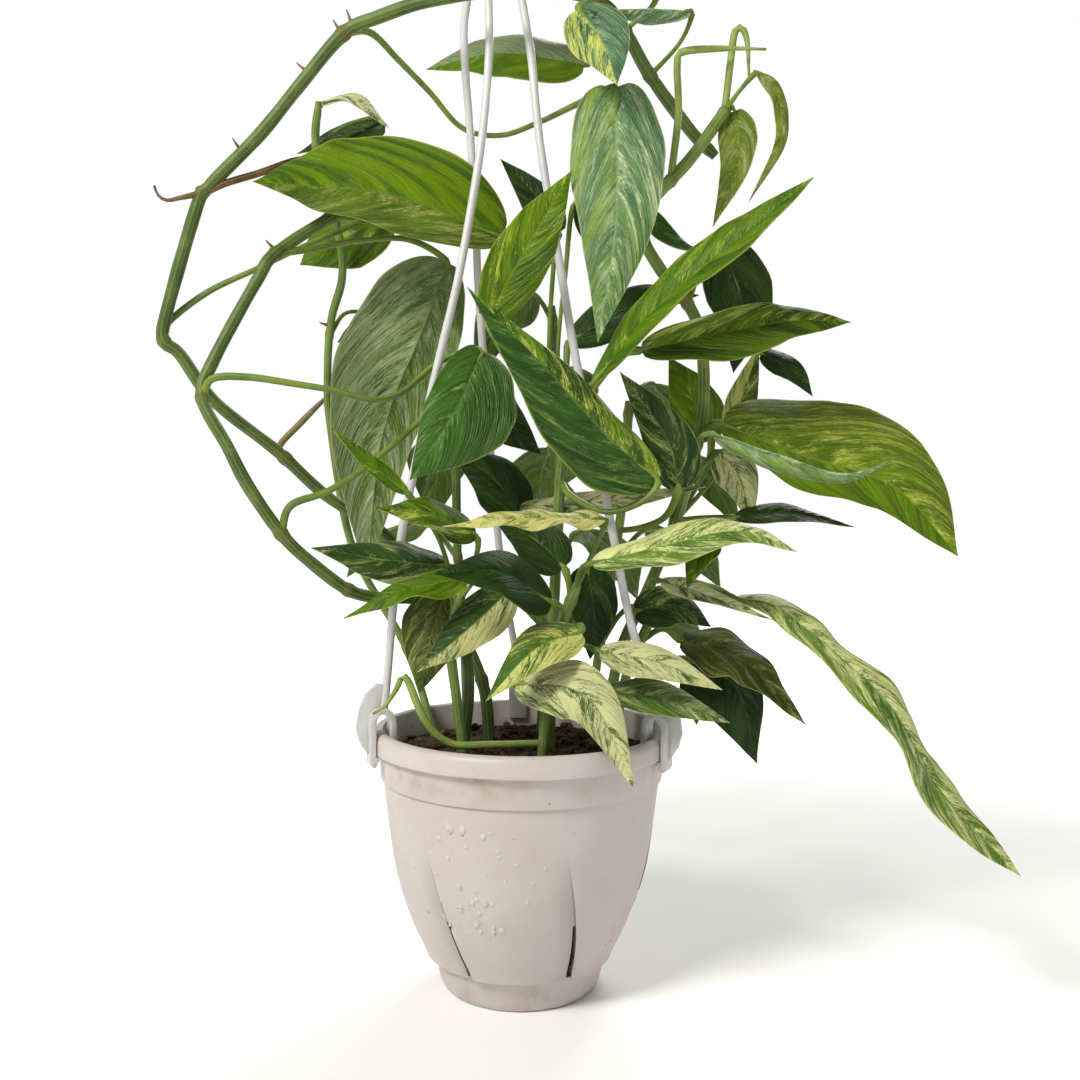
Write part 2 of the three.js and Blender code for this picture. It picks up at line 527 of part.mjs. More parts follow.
function makePot() {
  const still = panelTurn(PANEL_TOP);
  const outside = [
    [BASE_RADIUS, 0, 0], [BASE_RADIUS + 3, 3, 0], [BAND_RADIUS, BAND_HEIGHT, 0],
    [bowlRadius(BAND_HEIGHT), BAND_HEIGHT + 0.3, PANEL_PROUD],
    ...BOWL.slice(1, -1).map(([height, radius]) => [radius, height, panelProud(height)]),
    [bowlRadius(COLLAR_FOOT), COLLAR_FOOT, 0], [bowlRadius(COLLAR_FOOT) + 1.4, COLLAR_FOOT + 0.3, 0],
    [MOUTH_RADIUS + 2.6, POT_HEIGHT - RIM_DEPTH, 0], [RIM_RADIUS, POT_HEIGHT - RIM_DEPTH + 0.4, 0],
    [RIM_RADIUS, POT_HEIGHT - 4, 0], [RIM_RADIUS - 2.4, POT_HEIGHT, 0],
    [MOUTH_RADIUS + 1, POT_HEIGHT, 0],
  ].map(([radius, height, proud]) => potRing(radius, height, proud));
  const inside = [
    [MOUTH_RADIUS, POT_HEIGHT - 1.5], ...SIDES_INSIDE.map(([z, r]) => [r, z]).reverse(),
  ].map(([radius, height]) => potRing(radius, height, 0, still));
  let pot = toSolid(skinOfRings([...outside, ...inside]));
  for (let panel = 0; panel < PANELS; panel += 1) pot = pot.subtract(slotCutter(panel));
  return toGeometry(evened(pot));
}

function soilBump(x, y) {
  return 0.9 * Math.sin(x / 9 + 0.6) * Math.cos(y / 11) + 0.6 * Math.sin(x / 5 - y / 6);
}

// Soil fills the pot from its floor, and every stem stands in a plain hole in it
function makeSoil(roots) {
  const still = panelTurn(PANEL_TOP);
  const sides = [...SIDES_INSIDE, [SOIL_TOP - 1, SIDES_INSIDE[SIDES_INSIDE.length - 1][1]]]
    .map(([height, radius], i) => (
      potRing(radius - SOIL_GAP, i ? height : height + GAP, 0, still)));
  const top = SOIL_RINGS.map((radius) => potRing(radius, SOIL_TOP, 0, still));
  top.forEach((ring) => ring.forEach((p) => p.setZ(SOIL_TOP + soilBump(p.x, p.y))));
  let soil = toSolid(skinOfRings([...sides, ...top]));
  roots.forEach(([x, y, radius]) => {
    soil = soil.subtract(rootPost(x, y, radius + ROOT_SPREAD + GAP, ROOT_DEPTH + GAP));
  });
  return toGeometry(evened(soil));
}

function rootPost(x, y, radius, depth) {
  const post = new THREE.CylinderGeometry(radius, radius, depth + ROOT_STAND, STEM_SIDES);
  post.rotateX(Math.PI / 2);
  post.translate(x, y, SOIL_TOP + (ROOT_STAND - depth) / 2);
  return toSolid(post);
}

// A clip hooks over the rim and under its lip; drawn in the radial plane, then turned to its place
function makeClip(degrees) {
  const u = new THREE.Shape();
  u.moveTo(73.6, 137.5);
  u.lineTo(74.2, 154);
  u.quadraticCurveTo(75, 162.5, 82, 163);
  u.quadraticCurveTo(89, 162.5, 89.2, 154);
  u.lineTo(88.8, 133);
  u.quadraticCurveTo(88, 130, 85.6, 130.4);
  u.lineTo(82.9, 135.9);
  u.lineTo(RIM_RADIUS + 0.4, POT_HEIGHT - RIM_DEPTH - 0.4);
  u.lineTo(RIM_RADIUS + 0.4, 154);
  u.quadraticCurveTo(84.8, 159.2, 82, 159.4);
  u.quadraticCurveTo(78, 159.2, 77.5, 154);
  u.lineTo(77.5, 147);
  u.lineTo(76.7, 137.5);
  const fin = new THREE.Shape([[80, 175], [84, 176], [90, 170.5], [94.5, 161], [96, 152], [94, 144.5],
    [90.5, 139], [87, 134], [87, 155], [84, 162], [80, 162]].map(([r, z]) => new THREE.Vector2(r, z)));
  const slab = (shape, width) => {
    const geometry = new THREE.ExtrudeGeometry(shape, { depth: width, bevelEnabled: false,
      curveSegments: 2 });
    geometry.translate(0, 0, -width / 2);
    geometry.rotateX(Math.PI / 2);
    geometry.rotateZ(THREE.MathUtils.degToRad(degrees));
    return toSolid(geometry);
  };
  return slab(u, CLIP_WIDTH).add(slab(fin, FIN_WIDTH));
}

function makeStrand(name) {
  const strand = tube(STRANDS[name], STRAND_RADIUS, STRAND_SIDES, STRAND_STEPS);
  return toGeometry(evened(strand.add(makeClip(CLIP_AT[name]))));
}

function makeHook() {
  const { x, y, radius, foot, top } = HUB;
  const outline = [[0, foot], [radius - 2, foot], [radius, foot + 3], [radius, foot + 15],
    [radius - 3, top - 5], [4.5, top], [0, top]].map(([r, z]) => new THREE.Vector2(r, z));
  const hub = new THREE.LatheGeometry(outline, 16);
  hub.rotateX(Math.PI / 2);
  hub.translate(x, y, 0);
  let solid = toSolid(hub);
  if (solid.volume() < 0) throw new Error('the hub is inside out');
  solid = solid.add(tube(HOOK.map(([hx, hz]) => [hx, y, hz]), HOOK_RADIUS, STRAND_SIDES, HOOK_STEPS));
  Object.values(STRANDS).forEach((route) => {
    const [endX, endY, endZ] = route[route.length - 1];
    const socket = [...route.slice(0, -1), [endX, endY, endZ + GAP]];
    solid = solid.subtract(tube(socket, STRAND_RADIUS + GAP, STRAND_SIDES, STRAND_STEPS));
  });
  return toGeometry(evened(solid));
}

// Half the blade's width along the rib, as a share of its widest: round at the base, long at the tip
function outline(u, widest) {
  if (u < widest) return Math.sqrt(Math.max(0, 1 - (1 - u / widest) ** 2));
  const t = (u - widest) / (1 - widest);
  return (1 - t ** 1.6) ** 1.15;
}

function faceAt(faces, u) {
  const place = u * (faces.length - 1);
  const start = Math.min(Math.floor(place), Math.max(faces.length - 2, 0));
  const a = new THREE.Vector3(...faces[start]);
  const b = new THREE.Vector3(...faces[Math.min(start + 1, faces.length - 1)]);
  return a.lerp(b, place - start);
}

// A point of the blade's middle surface, u along the rib and v from one edge to the other
function bladePoint(curve, leaf, u, v) {
  const form = { ...LEAF_FORM, ...leaf };
  const point = curve.getPoint(u);
  const along = curve.getTangent(u);
  const up = faceAt(form.face, u);
  up.addScaledVector(along, -up.dot(along)).normalize();
  const across = new THREE.Vector3().crossVectors(along, up);
  const share = outline(u, form.widest);
  const half = (form.width / 2) * share * (1 + form.lean * v);
  const bend = form.roll * v;
  const side = half * Math.sin(bend) / form.roll;
  const crown = -half * (1 - Math.cos(bend)) / form.roll;
  const edge = Math.abs(v);
  const ripple = form.wave * share * edge ** 2
    * Math.sin(2 * Math.PI * form.waves * u + (v > 0 ? 0 : 2.1));
  const lobe = form.lobe * form.width * Math.max(0, 1 - u / form.widest) ** 2 * edge * share;
  point.addScaledVector(across, side);
  point.addScaledVector(up, crown + form.fold * half * edge + ripple);
  return point.addScaledVector(along, -lobe);
}

function bladeNormal(curve, leaf, u, v) {
  const step = 0.02;
  const clamp = (value, low, high) => Math.min(Math.max(value, low), high);
  const u0 = clamp(u - step, 0.02, 0.96);
  const v0 = clamp(v - step, -1, 1 - 2 * step);
  const du = bladePoint(curve, leaf, u0 + 2 * step, v).sub(bladePoint(curve, leaf, u0, v));
  const dv = bladePoint(curve, leaf, u0 + step, v0 + 2 * step)
    .sub(bladePoint(curve, leaf, u0 + step, v0));
  return new THREE.Vector3().crossVectors(dv, du).normalize();
}

// A thin closed plate over the blade's grid, split alike on both faces
function bladeSolid(leaf) {
  const curve = curveThrough(leaf.rib);
  const columns = leaf.width > NARROW_WIDTH ? WIDE_COLUMNS : NARROW_COLUMNS;
  const points = [];
  const index = [];
  const bands = THREE.MathUtils.clamp(Math.round(curve.getLength() / BLADE_STEP), 4, 12);
  const rows = Array.from({ length: bands + 1 }, (_, row) => {
    const even = row / bands;
    const u = 0.6 * even + 0.2 * (1 - Math.cos(Math.PI * even));
    const ends = row === 0 || row === bands;
    return (ends ? [0] : columns).map((v) => {
      const middle = bladePoint(curve, leaf, u, v);
      const normal = bladeNormal(curve, leaf, u, v).multiplyScalar(BLADE_THICKNESS / 2);
      points.push(middle.clone().add(normal), middle.clone().sub(normal));
      return points.length - 2;
    });
  });
  const face = (a, b, c) => {
    if (a === b || b === c || a === c) return;
    index.push(a, b, c, a + 1, c + 1, b + 1);
  };
  const wall = (a, b) => {
    if (a !== b) index.push(a, a + 1, b + 1, a, b + 1, b);
  };
  const at = (row, i) => row[Math.min(i, row.length - 1)];
  for (let r = 0; r + 1 < rows.length; r += 1) {
    const [low, high] = [rows[r], rows[r + 1]];
    for (let i = 0; i + 1 < columns.length; i += 1) {
      const [a, b, c, d] = [at(low, i), at(low, i + 1), at(high, i + 1), at(high, i)];
      if (i < (columns.length - 1) / 2) {
        face(a, b, c);
        face(a, c, d);
      } else {
        face(a, b, d);
        face(b, c, d);
      }
    }
    wall(at(high, 0), at(low, 0));
    wall(at(low, columns.length - 1), at(high, columns.length - 1));
  }
  const geometry = new THREE.BufferGeometry().setFromPoints(points);
  geometry.setIndex(index);
  const solid = toSolid(geometry);
  return solid.volume() > 0 ? solid : toSolid(flipped(geometry));
}

function flipped(geometry) {
  const index = Array.from(geometry.index.array);
  for (let i = 0; i < index.length; i += 3) [index[i], index[i + 1]] = [index[i + 1], index[i]];
  const turned = geometry.clone();
  turned.setIndex(index);
  return turned;
}

function routeLength(points) {
  return curveThrough(points).getLength();
}

// A stalk runs from the stem into its blade and sinks a little way along the rib
function stalkSolid(leaf) {
  const points = [...leaf.stalk];
  if (leaf.rib) {
    const rib = curveThrough(leaf.rib);
    points.push(leaf.rib[0], rib.getPoint(STALK_SINK / rib.getLength()).toArray());
  }
  const radius = leaf.width > NARROW_WIDTH || !leaf.rib ? STALK_RADIUS : STALK_RADIUS * NARROW_STALK;
  const steps = leaf.steps ?? THREE.MathUtils.clamp(Math.round(routeLength(points) / TUBE_STEP), 3, 12);
  return tube(points, radius, STALK_SIDES, steps);
}

function atHeight(route, height) {
  const next = route.findIndex(([, , z]) => z >= height);
  const [a, b] = [route[next - 1], route[next]];
  const share = (height - a[2]) / (b[2] - a[2]);
  return a.map((value, i) => value + (b[i] - value) * share);
}

// A back leaf's short row gives it a stalk and a rib like the ones listed in front
function backLeaf(route, { foot, turn, stalk, length, width, drop }) {
  const from = atHeight(route, foot);
  const angle = THREE.MathUtils.degToRad(turn);
  const out = (reach, rise) => [from[0] + reach * Math.cos(angle), from[1] + reach * Math.sin(angle),
    from[2] + rise];
  const span = Math.sqrt(length ** 2 - drop ** 2);
  return {
    stalk: [from, out(stalk * 0.55, BACK_LIFT)],
    rib: [out(stalk, BACK_LIFT + 4), out(stalk + span * 0.5, BACK_LIFT + 2 - drop * 0.25),
      out(stalk + span, BACK_LIFT + 4 - drop)],
    face: [[Math.cos(angle) * 0.6, Math.sin(angle) * 0.6, 0.8]],
    width,
    wave: 2,
  };
}

function allStems() {
  const stems = { ...STEMS };
  Object.entries(BACK_STEMS).forEach(([name, { route, leaves }]) => {
    const rows = leaves.map((leaf, i) => [`behind_${i + 1}`, backLeaf(route, leaf)]);
    stems[name] = { radius: BACK_RADIUS, route, leaves: Object.fromEntries(rows) };
  });
  return stems;
}

// The route carries on a little way past its last stalk
function stemTube({ route, radius }) {
  const tip = new THREE.Vector3(...route[route.length - 1]);
  tip.addScaledVector(curveThrough(route).getTangent(1), TIP_RUN);
  const steps = Math.round(routeLength(route) / TUBE_STEP);
  return tube([...route, tip.toArray()], radius, STEM_SIDES, steps);
}

function makeStem(stem) {
  const [x, y] = stem.route[0];
  const pieces = [rootPost(x, y, stem.radius + ROOT_SPREAD, ROOT_DEPTH), stemTube(stem)];
  Object.values(stem.leaves).forEach((leaf) => {
    pieces.push(stalkSolid(leaf));
    if (leaf.rib) pieces.push(bladeSolid(leaf));
  });
  return largestShell(evened(join(pieces)));
}

const plant = new THREE.Group();
function place(name, geometry, look) {
  const mesh = new THREE.Mesh(geometry, material(look));
  mesh.name = name;
  plant.add(mesh);
}

const stems = allStems();
const roots = Object.values(stems).map(({ route, radius }) => [route[0][0], route[0][1], radius]);
place('pot', makePot(), 'pot');
place('soil', makeSoil(roots), 'soil');
place('hanger_hook', makeHook(), 'hanger');
Object.keys(STRANDS).forEach((name) => place(name, makeStrand(name), 'hanger'));
Object.entries(stems).forEach(([name, stem]) => place(name, makeStem(stem), 'leaves'));

export default plant;
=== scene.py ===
# A variegated mint pothos in a white louvred hanging pot, dressed in the shared frame.
import math
import random

import bpy
from mathutils import Matrix, Vector, noise


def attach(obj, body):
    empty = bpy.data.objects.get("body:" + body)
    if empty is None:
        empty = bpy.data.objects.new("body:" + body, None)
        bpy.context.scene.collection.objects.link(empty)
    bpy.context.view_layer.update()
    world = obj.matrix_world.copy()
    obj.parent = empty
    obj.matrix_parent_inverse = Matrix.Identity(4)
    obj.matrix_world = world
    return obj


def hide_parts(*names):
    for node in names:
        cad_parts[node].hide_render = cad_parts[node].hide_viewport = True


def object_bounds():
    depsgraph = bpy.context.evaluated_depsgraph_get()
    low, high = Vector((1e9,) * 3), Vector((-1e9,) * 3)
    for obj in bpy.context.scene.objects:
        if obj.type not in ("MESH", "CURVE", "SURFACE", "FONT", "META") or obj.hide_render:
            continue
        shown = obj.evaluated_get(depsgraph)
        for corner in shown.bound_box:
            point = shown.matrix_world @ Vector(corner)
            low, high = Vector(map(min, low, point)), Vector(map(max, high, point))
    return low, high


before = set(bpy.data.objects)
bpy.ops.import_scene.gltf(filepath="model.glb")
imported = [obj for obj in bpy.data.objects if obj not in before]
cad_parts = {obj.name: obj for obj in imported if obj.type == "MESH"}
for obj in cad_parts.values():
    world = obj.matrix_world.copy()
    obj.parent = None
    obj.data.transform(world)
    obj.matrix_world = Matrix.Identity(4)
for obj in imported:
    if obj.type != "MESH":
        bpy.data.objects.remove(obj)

CAD_BOX = [list(corner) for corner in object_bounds()]
TURN = 2 * math.pi

# Pot: heights, radii and the six louvre panels, as in the part's source
POT_HEIGHT = 0.148
RIM_RADIUS = 0.085
LIP_HEIGHT = POT_HEIGHT - 0.0115
MOUTH_RADIUS = 0.0786
FLOOR = 0.0025
COLLAR_FOOT = 0.120
COLLAR_RADIUS = MOUTH_RADIUS + 0.0014
BAND_HEIGHT = 0.019
BAND_RADIUS = 0.0494
BASE_RADIUS = 0.043
BOWL = [(0.019, 0.0506), (0.032, 0.0582), (0.048, 0.0648), (0.066, 0.0704), (0.080, 0.0732),
    (0.098, 0.076), (0.120, 0.0786)]
BOWL_STEP = 0.0025
SIDES_INSIDE = [(0.0025, 0.042), (0.019, 0.0472), (0.032, 0.056), (0.066, 0.0682), (0.120, 0.0764)]
PANELS = 6
PANEL_COLUMNS = 24
PANEL_TOP = 0.098
PANEL_PROUD = 0.0022
FIRST_PANEL = math.radians(33 - 90)
PANEL_TWIST = math.radians(-14)
SLOT_WIDTH = 0.0036
SLOT_FOOT = 0.0205
SLOT_TOP = 0.054
DROPS = 60
DROP_SIZES = [0.0006, 0.0008, 0.0011, 0.0015]

# Soil: its level, the gap to the wall, how deep stems are sunk, and its loose crumbs
SOIL_TOP = 0.134
SOIL_GAP = 0.0006
SOIL_RINGS = 26
ROOT_SINK = 0.014
CRUMBS = 620
CRUMB_SIZES = [0.0006, 0.0008, 0.001, 0.0014, 0.002, 0.0026]
SLOT_CRUMBS = 9

# Hanger: strand and clip sizes, the hub and the hook above it
STRAND_RADIUS = 0.0024
CLIP_WIDTH = 0.011
FIN_WIDTH = 0.003
FIN = [(0.080, 0.175), (0.084, 0.176), (0.0905, 0.1705), (0.0945, 0.161), (0.096, 0.152), (0.094, 0.1445),
    (0.0905, 0.139), (0.087, 0.134), (0.087, 0.155), (0.084, 0.162), (0.080, 0.162)]
CLIP_AT = {"strand_left": 200, "strand_right": 335, "strand_back": 93}
HUB = {"x": -0.019, "radius": 0.010, "foot": 0.586, "top": 0.612}
HOOK_RADIUS = 0.0028
HOOK = [(-0.019, 0, 0.606), (-0.019, 0, 0.62), (-0.012, 0, 0.631), (-0.004, 0, 0.641), (-0.003, 0, 0.653),
    (-0.009, 0, 0.6625), (-0.019, 0, 0.6662), (-0.029, 0, 0.6625), (-0.035, 0, 0.654), (-0.035, 0, 0.645)]

# Camera: the photograph's place, pitch, roll and focal length for a square image
CAMERA_PLACE = (0.0096, -0.644, 0.277)
CAMERA_PITCH = math.radians(2.03)
CAMERA_ROLL = math.radians(0.44)
FOCAL_PIXELS = 1129
IMAGE_PIXELS = 1080
SENSOR = 36

# Leaves: how a blade is formed unless its row says otherwise, its mesh and veins, and the stalks
LEAF_FORM = {"widest": 0.36, "fold": 0.14, "roll": 0.5, "lobe": 0.1, "wave": 0, "waves": 2, "lean": 0}
BLADE_THICKNESS = 0.0006
BLADE_STEP = 0.0028
BLADE_COLUMN = 0.0044
EDGE_CROWDING = 1.25
VEIN_SPACING = 0.0085
VEIN_LEAN = 0.9
VEIN_SWEEP = 1.4
RUFFLE = 0.0034
STALK_RADIUS = 0.0021
NARROW_STALK = 0.75
NARROW_WIDTH = 0.025
RIB_STATIONS = (0.12, 0.25, 0.4, 0.55, 0.7, 0.85, 0.97)
BACK_RADIUS = 0.003
BACK_LIFT = 0.018

# Dried root stubs on the vines: x and z in mm, and the way they point in degrees, from the front
SPURS = {
    "vine_outer": [(-107, 541, 129), (-100, 547, 115), (-125, 520, 153), (-157, 469, 133)],
    "stem_left": [(-111, 382, 180)],
    "vine_inner": [(-145, 421, 146)],
}
DARK_VINES = ("vine_inner", "vine_outer", "stem_back_left", "stem_back")

# Stalk finishes: green, pale lines and shade, and for some the brown of the scars
STALK_FINISHES = {
    "vine": ("vine_skin", "#53652b", "#76884e", "#3d5021"),
    "pale_vine": ("pale_vine_skin", "#6f8440", "#93a566", "#55692c"),
    "stalk": ("stalk_skin", "#687c2e", "#8f9f56", "#4a601f"),
    "pale_stalk": ("pale_stalk_skin", "#88984c", "#a9b46e", "#6a7f36"),
    "dry_brown": ("dry_brown_skin", "#75603f", "#98825a", "#4c3828", "#3c2b2a", 0.8),
    "tinted_stalk": ("tinted_stalk_skin", "#8a7a50", "#a98f74", "#6f5a44"),
}
STALK_OF = {"dry_root": "dry_brown", "dry_petiole": "dry_brown", "rising_stalk": "tinted_stalk",
    "low_runner": "pale_stalk", "bare_stalk": "pale_stalk", "curled_stalk": "pale_stalk"}

# Leaf finishes: green, deep green, mint marbling and cream streaks; the share of mint on the left
# and right half, that of cream, and how much of it is fine flecks; then what only some leaves have
FINISHES = {
    "lime_top_cream_foot": ("#4c6608 #2f4e06 #6b7834 #a5a650", 0.5, 0.12, 0.28, 0.03, 0.6,
        {"other": "#5c7900"}),
    "lime_streaked": ("#4f6f00 #2f5000 #6c8414 #a6b03a", 0.28, 0.28, 0.24, 0.2, 0.6),
    "lime_dark": ("#4d6a00 #223e02 #6f8730 #adb252", 0.34, 0.2, 0.34, 0.16, 0.8),
    "lime_yellow": ("#567400 #325200 #78900f #b2b83a", 0.3, 0.25, 0.26, 0.22, 0.6),
    "light_green": ("#6b781e #495e14 #929b61 #afb270", 0.4, 0.4, 0.18, 0.18, 0.3),
    "deep_green": ("#406620 #2a4e12 #6f8c52 #9fae64", 0.3, 0.26, 0.1, 0.14, 0.9, {"vein": 0.0}),
    "solid_green": ("#1b3900 #0e2400 #2a4c0c #647a28", 0.1, 0.1, 0.02, 0.02, 0.1, {"vein": 0.1}),
    "shade_green": ("#27400c #132709 #4e653a #818d4c", 0.3, 0.2, 0.12, 0.08, 0.3),
    "blue_green": ("#56784a #40643c #93a682 #bec58e", 0.42, 0.4, 0.3, 0.12, 0.8,
        {"other": "#738c30", "tip": "#5e7d2c"}),
    "grey_and_lime": ("#587600 #436000 #738061 #98a35a", 0.1, 0.85, 0.2, 0.1, 0.3),
    "diagonal_streaks": ("#2c5018 #1a3a0e #647c3e #a8b04c", 0.36, 0.22, 0.14, 0.4, 0.7,
        {"other": "#4c6e08"}),
    "dark_mint": ("#28430c #142d08 #6c7e4c #a6ad62", 0.38, 0.32, 0.28, 0.22, 0.8),
    "olive_to_lime": ("#546c14 #3e5508 #7c8c30 #aeb446", 0.46, 0.12, 0.34, 0.1, 0.6,
        {"other": "#5a7a00", "tip": "#587a00", "vein": 1.0}),
    "olive_cream": ("#485610 #26360b #7f824d #afaa65", 0.4, 0.4, 0.3, 0.22, 0.6),
    "grey_hanging": ("#667a40 #536736 #8a9967 #9dab66", 0.55, 0.5, 0.12, 0.1, 0.3,
        {"tip": "#6b8438", "vein": 0.15}),
    "grey_streaked": ("#4e6a20 #30501a #8f9c66 #bbbd78", 0.5, 0.4, 0.36, 0.28, 0.8),
    "half_cream": ("#456812 #26490c #86964e #c2c36e", 0.42, 0.32, 0.62, 0.34, 0.9),
    "cream_half": ("#34541a #1d3a14 #7b8a55 #b3b170", 0.45, 0.2, 0.56, 0.24, 0.8),
    "blue_cream": ("#486c44 #315238 #7d9674 #b9bb55", 0.4, 0.4, 0.14, 0.5, 0.4),
    "ribbon": ("#5f7e1e #3c5e18 #9dac68 #d6d994", 0.5, 0.45, 0.5, 0.38, 0.9),
    "cream": ("#68771a #3d5511 #a5a663 #c5c077", 0.5, 0.5, 0.6, 0.5, 0.8),
    "mottled_white": ("#4b6220 #2e4613 #8c9662 #c8c890", 0.52, 0.48, 0.56, 0.5, 1.0),
}
UNDERSIDES = {
    "lime_streaked": ("#4d6a10 #304c0c #828d5c #a1a866", 0.3, 0.3, 0.16, 0.16, 0.4),
    "grey_back": ("#5a7128 #3e5a22 #939f76 #b2ba8c", 0.56, 0.48, 0.26, 0.22, 0.4),
}

# Which leaves have which finish; the far side takes BACK_FINISHES in turn
LEAVES_WITH = {
    "lime_top_cream_foot": "broad_left",
    "lime_streaked": "bright_behind small_top bright_back small_lime lime_low narrow_lime tall_streaked",
    "lime_dark": "lime_dark bright_right",
    "lime_yellow": "lime_upright",
    "light_green": "light_folded narrow_droop",
    "deep_green": "three_corner small_green small_dark",
    "solid_green": "solid_green",
    "shade_green": "shade_centre dark_top_left dark_round grey_right dark_low_right dark_low"
        " shade_middle shade_low shade_front dark_behind dark_right hidden_hanging",
    "blue_green": "front_hanging rolled_top rolled_right",
    "grey_and_lime": "top_grey",
    "diagonal_streaks": "large_diagonal",
    "dark_mint": "dark_mint shade_right dark_stripe",
    "olive_to_lime": "big_right",
    "olive_cream": "olive_cream dark_cream",
    "grey_hanging": "grey_hanging",
    "grey_streaked": "grey_green",
    "half_cream": "cream_scrap cream_green",
    "cream_half": "cream_patch",
    "blue_cream": "top_cream",
    "ribbon": "ribbon whitish_mint",
    "cream": "cream_wavy",
    "mottled_white": "curled_mint pale_sheath nearly_white over_rim mint_behind mottled_low",
}
FINISH_OF = {leaf: finish for finish, leaves in LEAVES_WITH.items() for leaf in leaves.split()}
BACK_FINISHES = ["deep_green", "diagonal_streaks", "half_cream", "lime_dark", "dark_mint"]

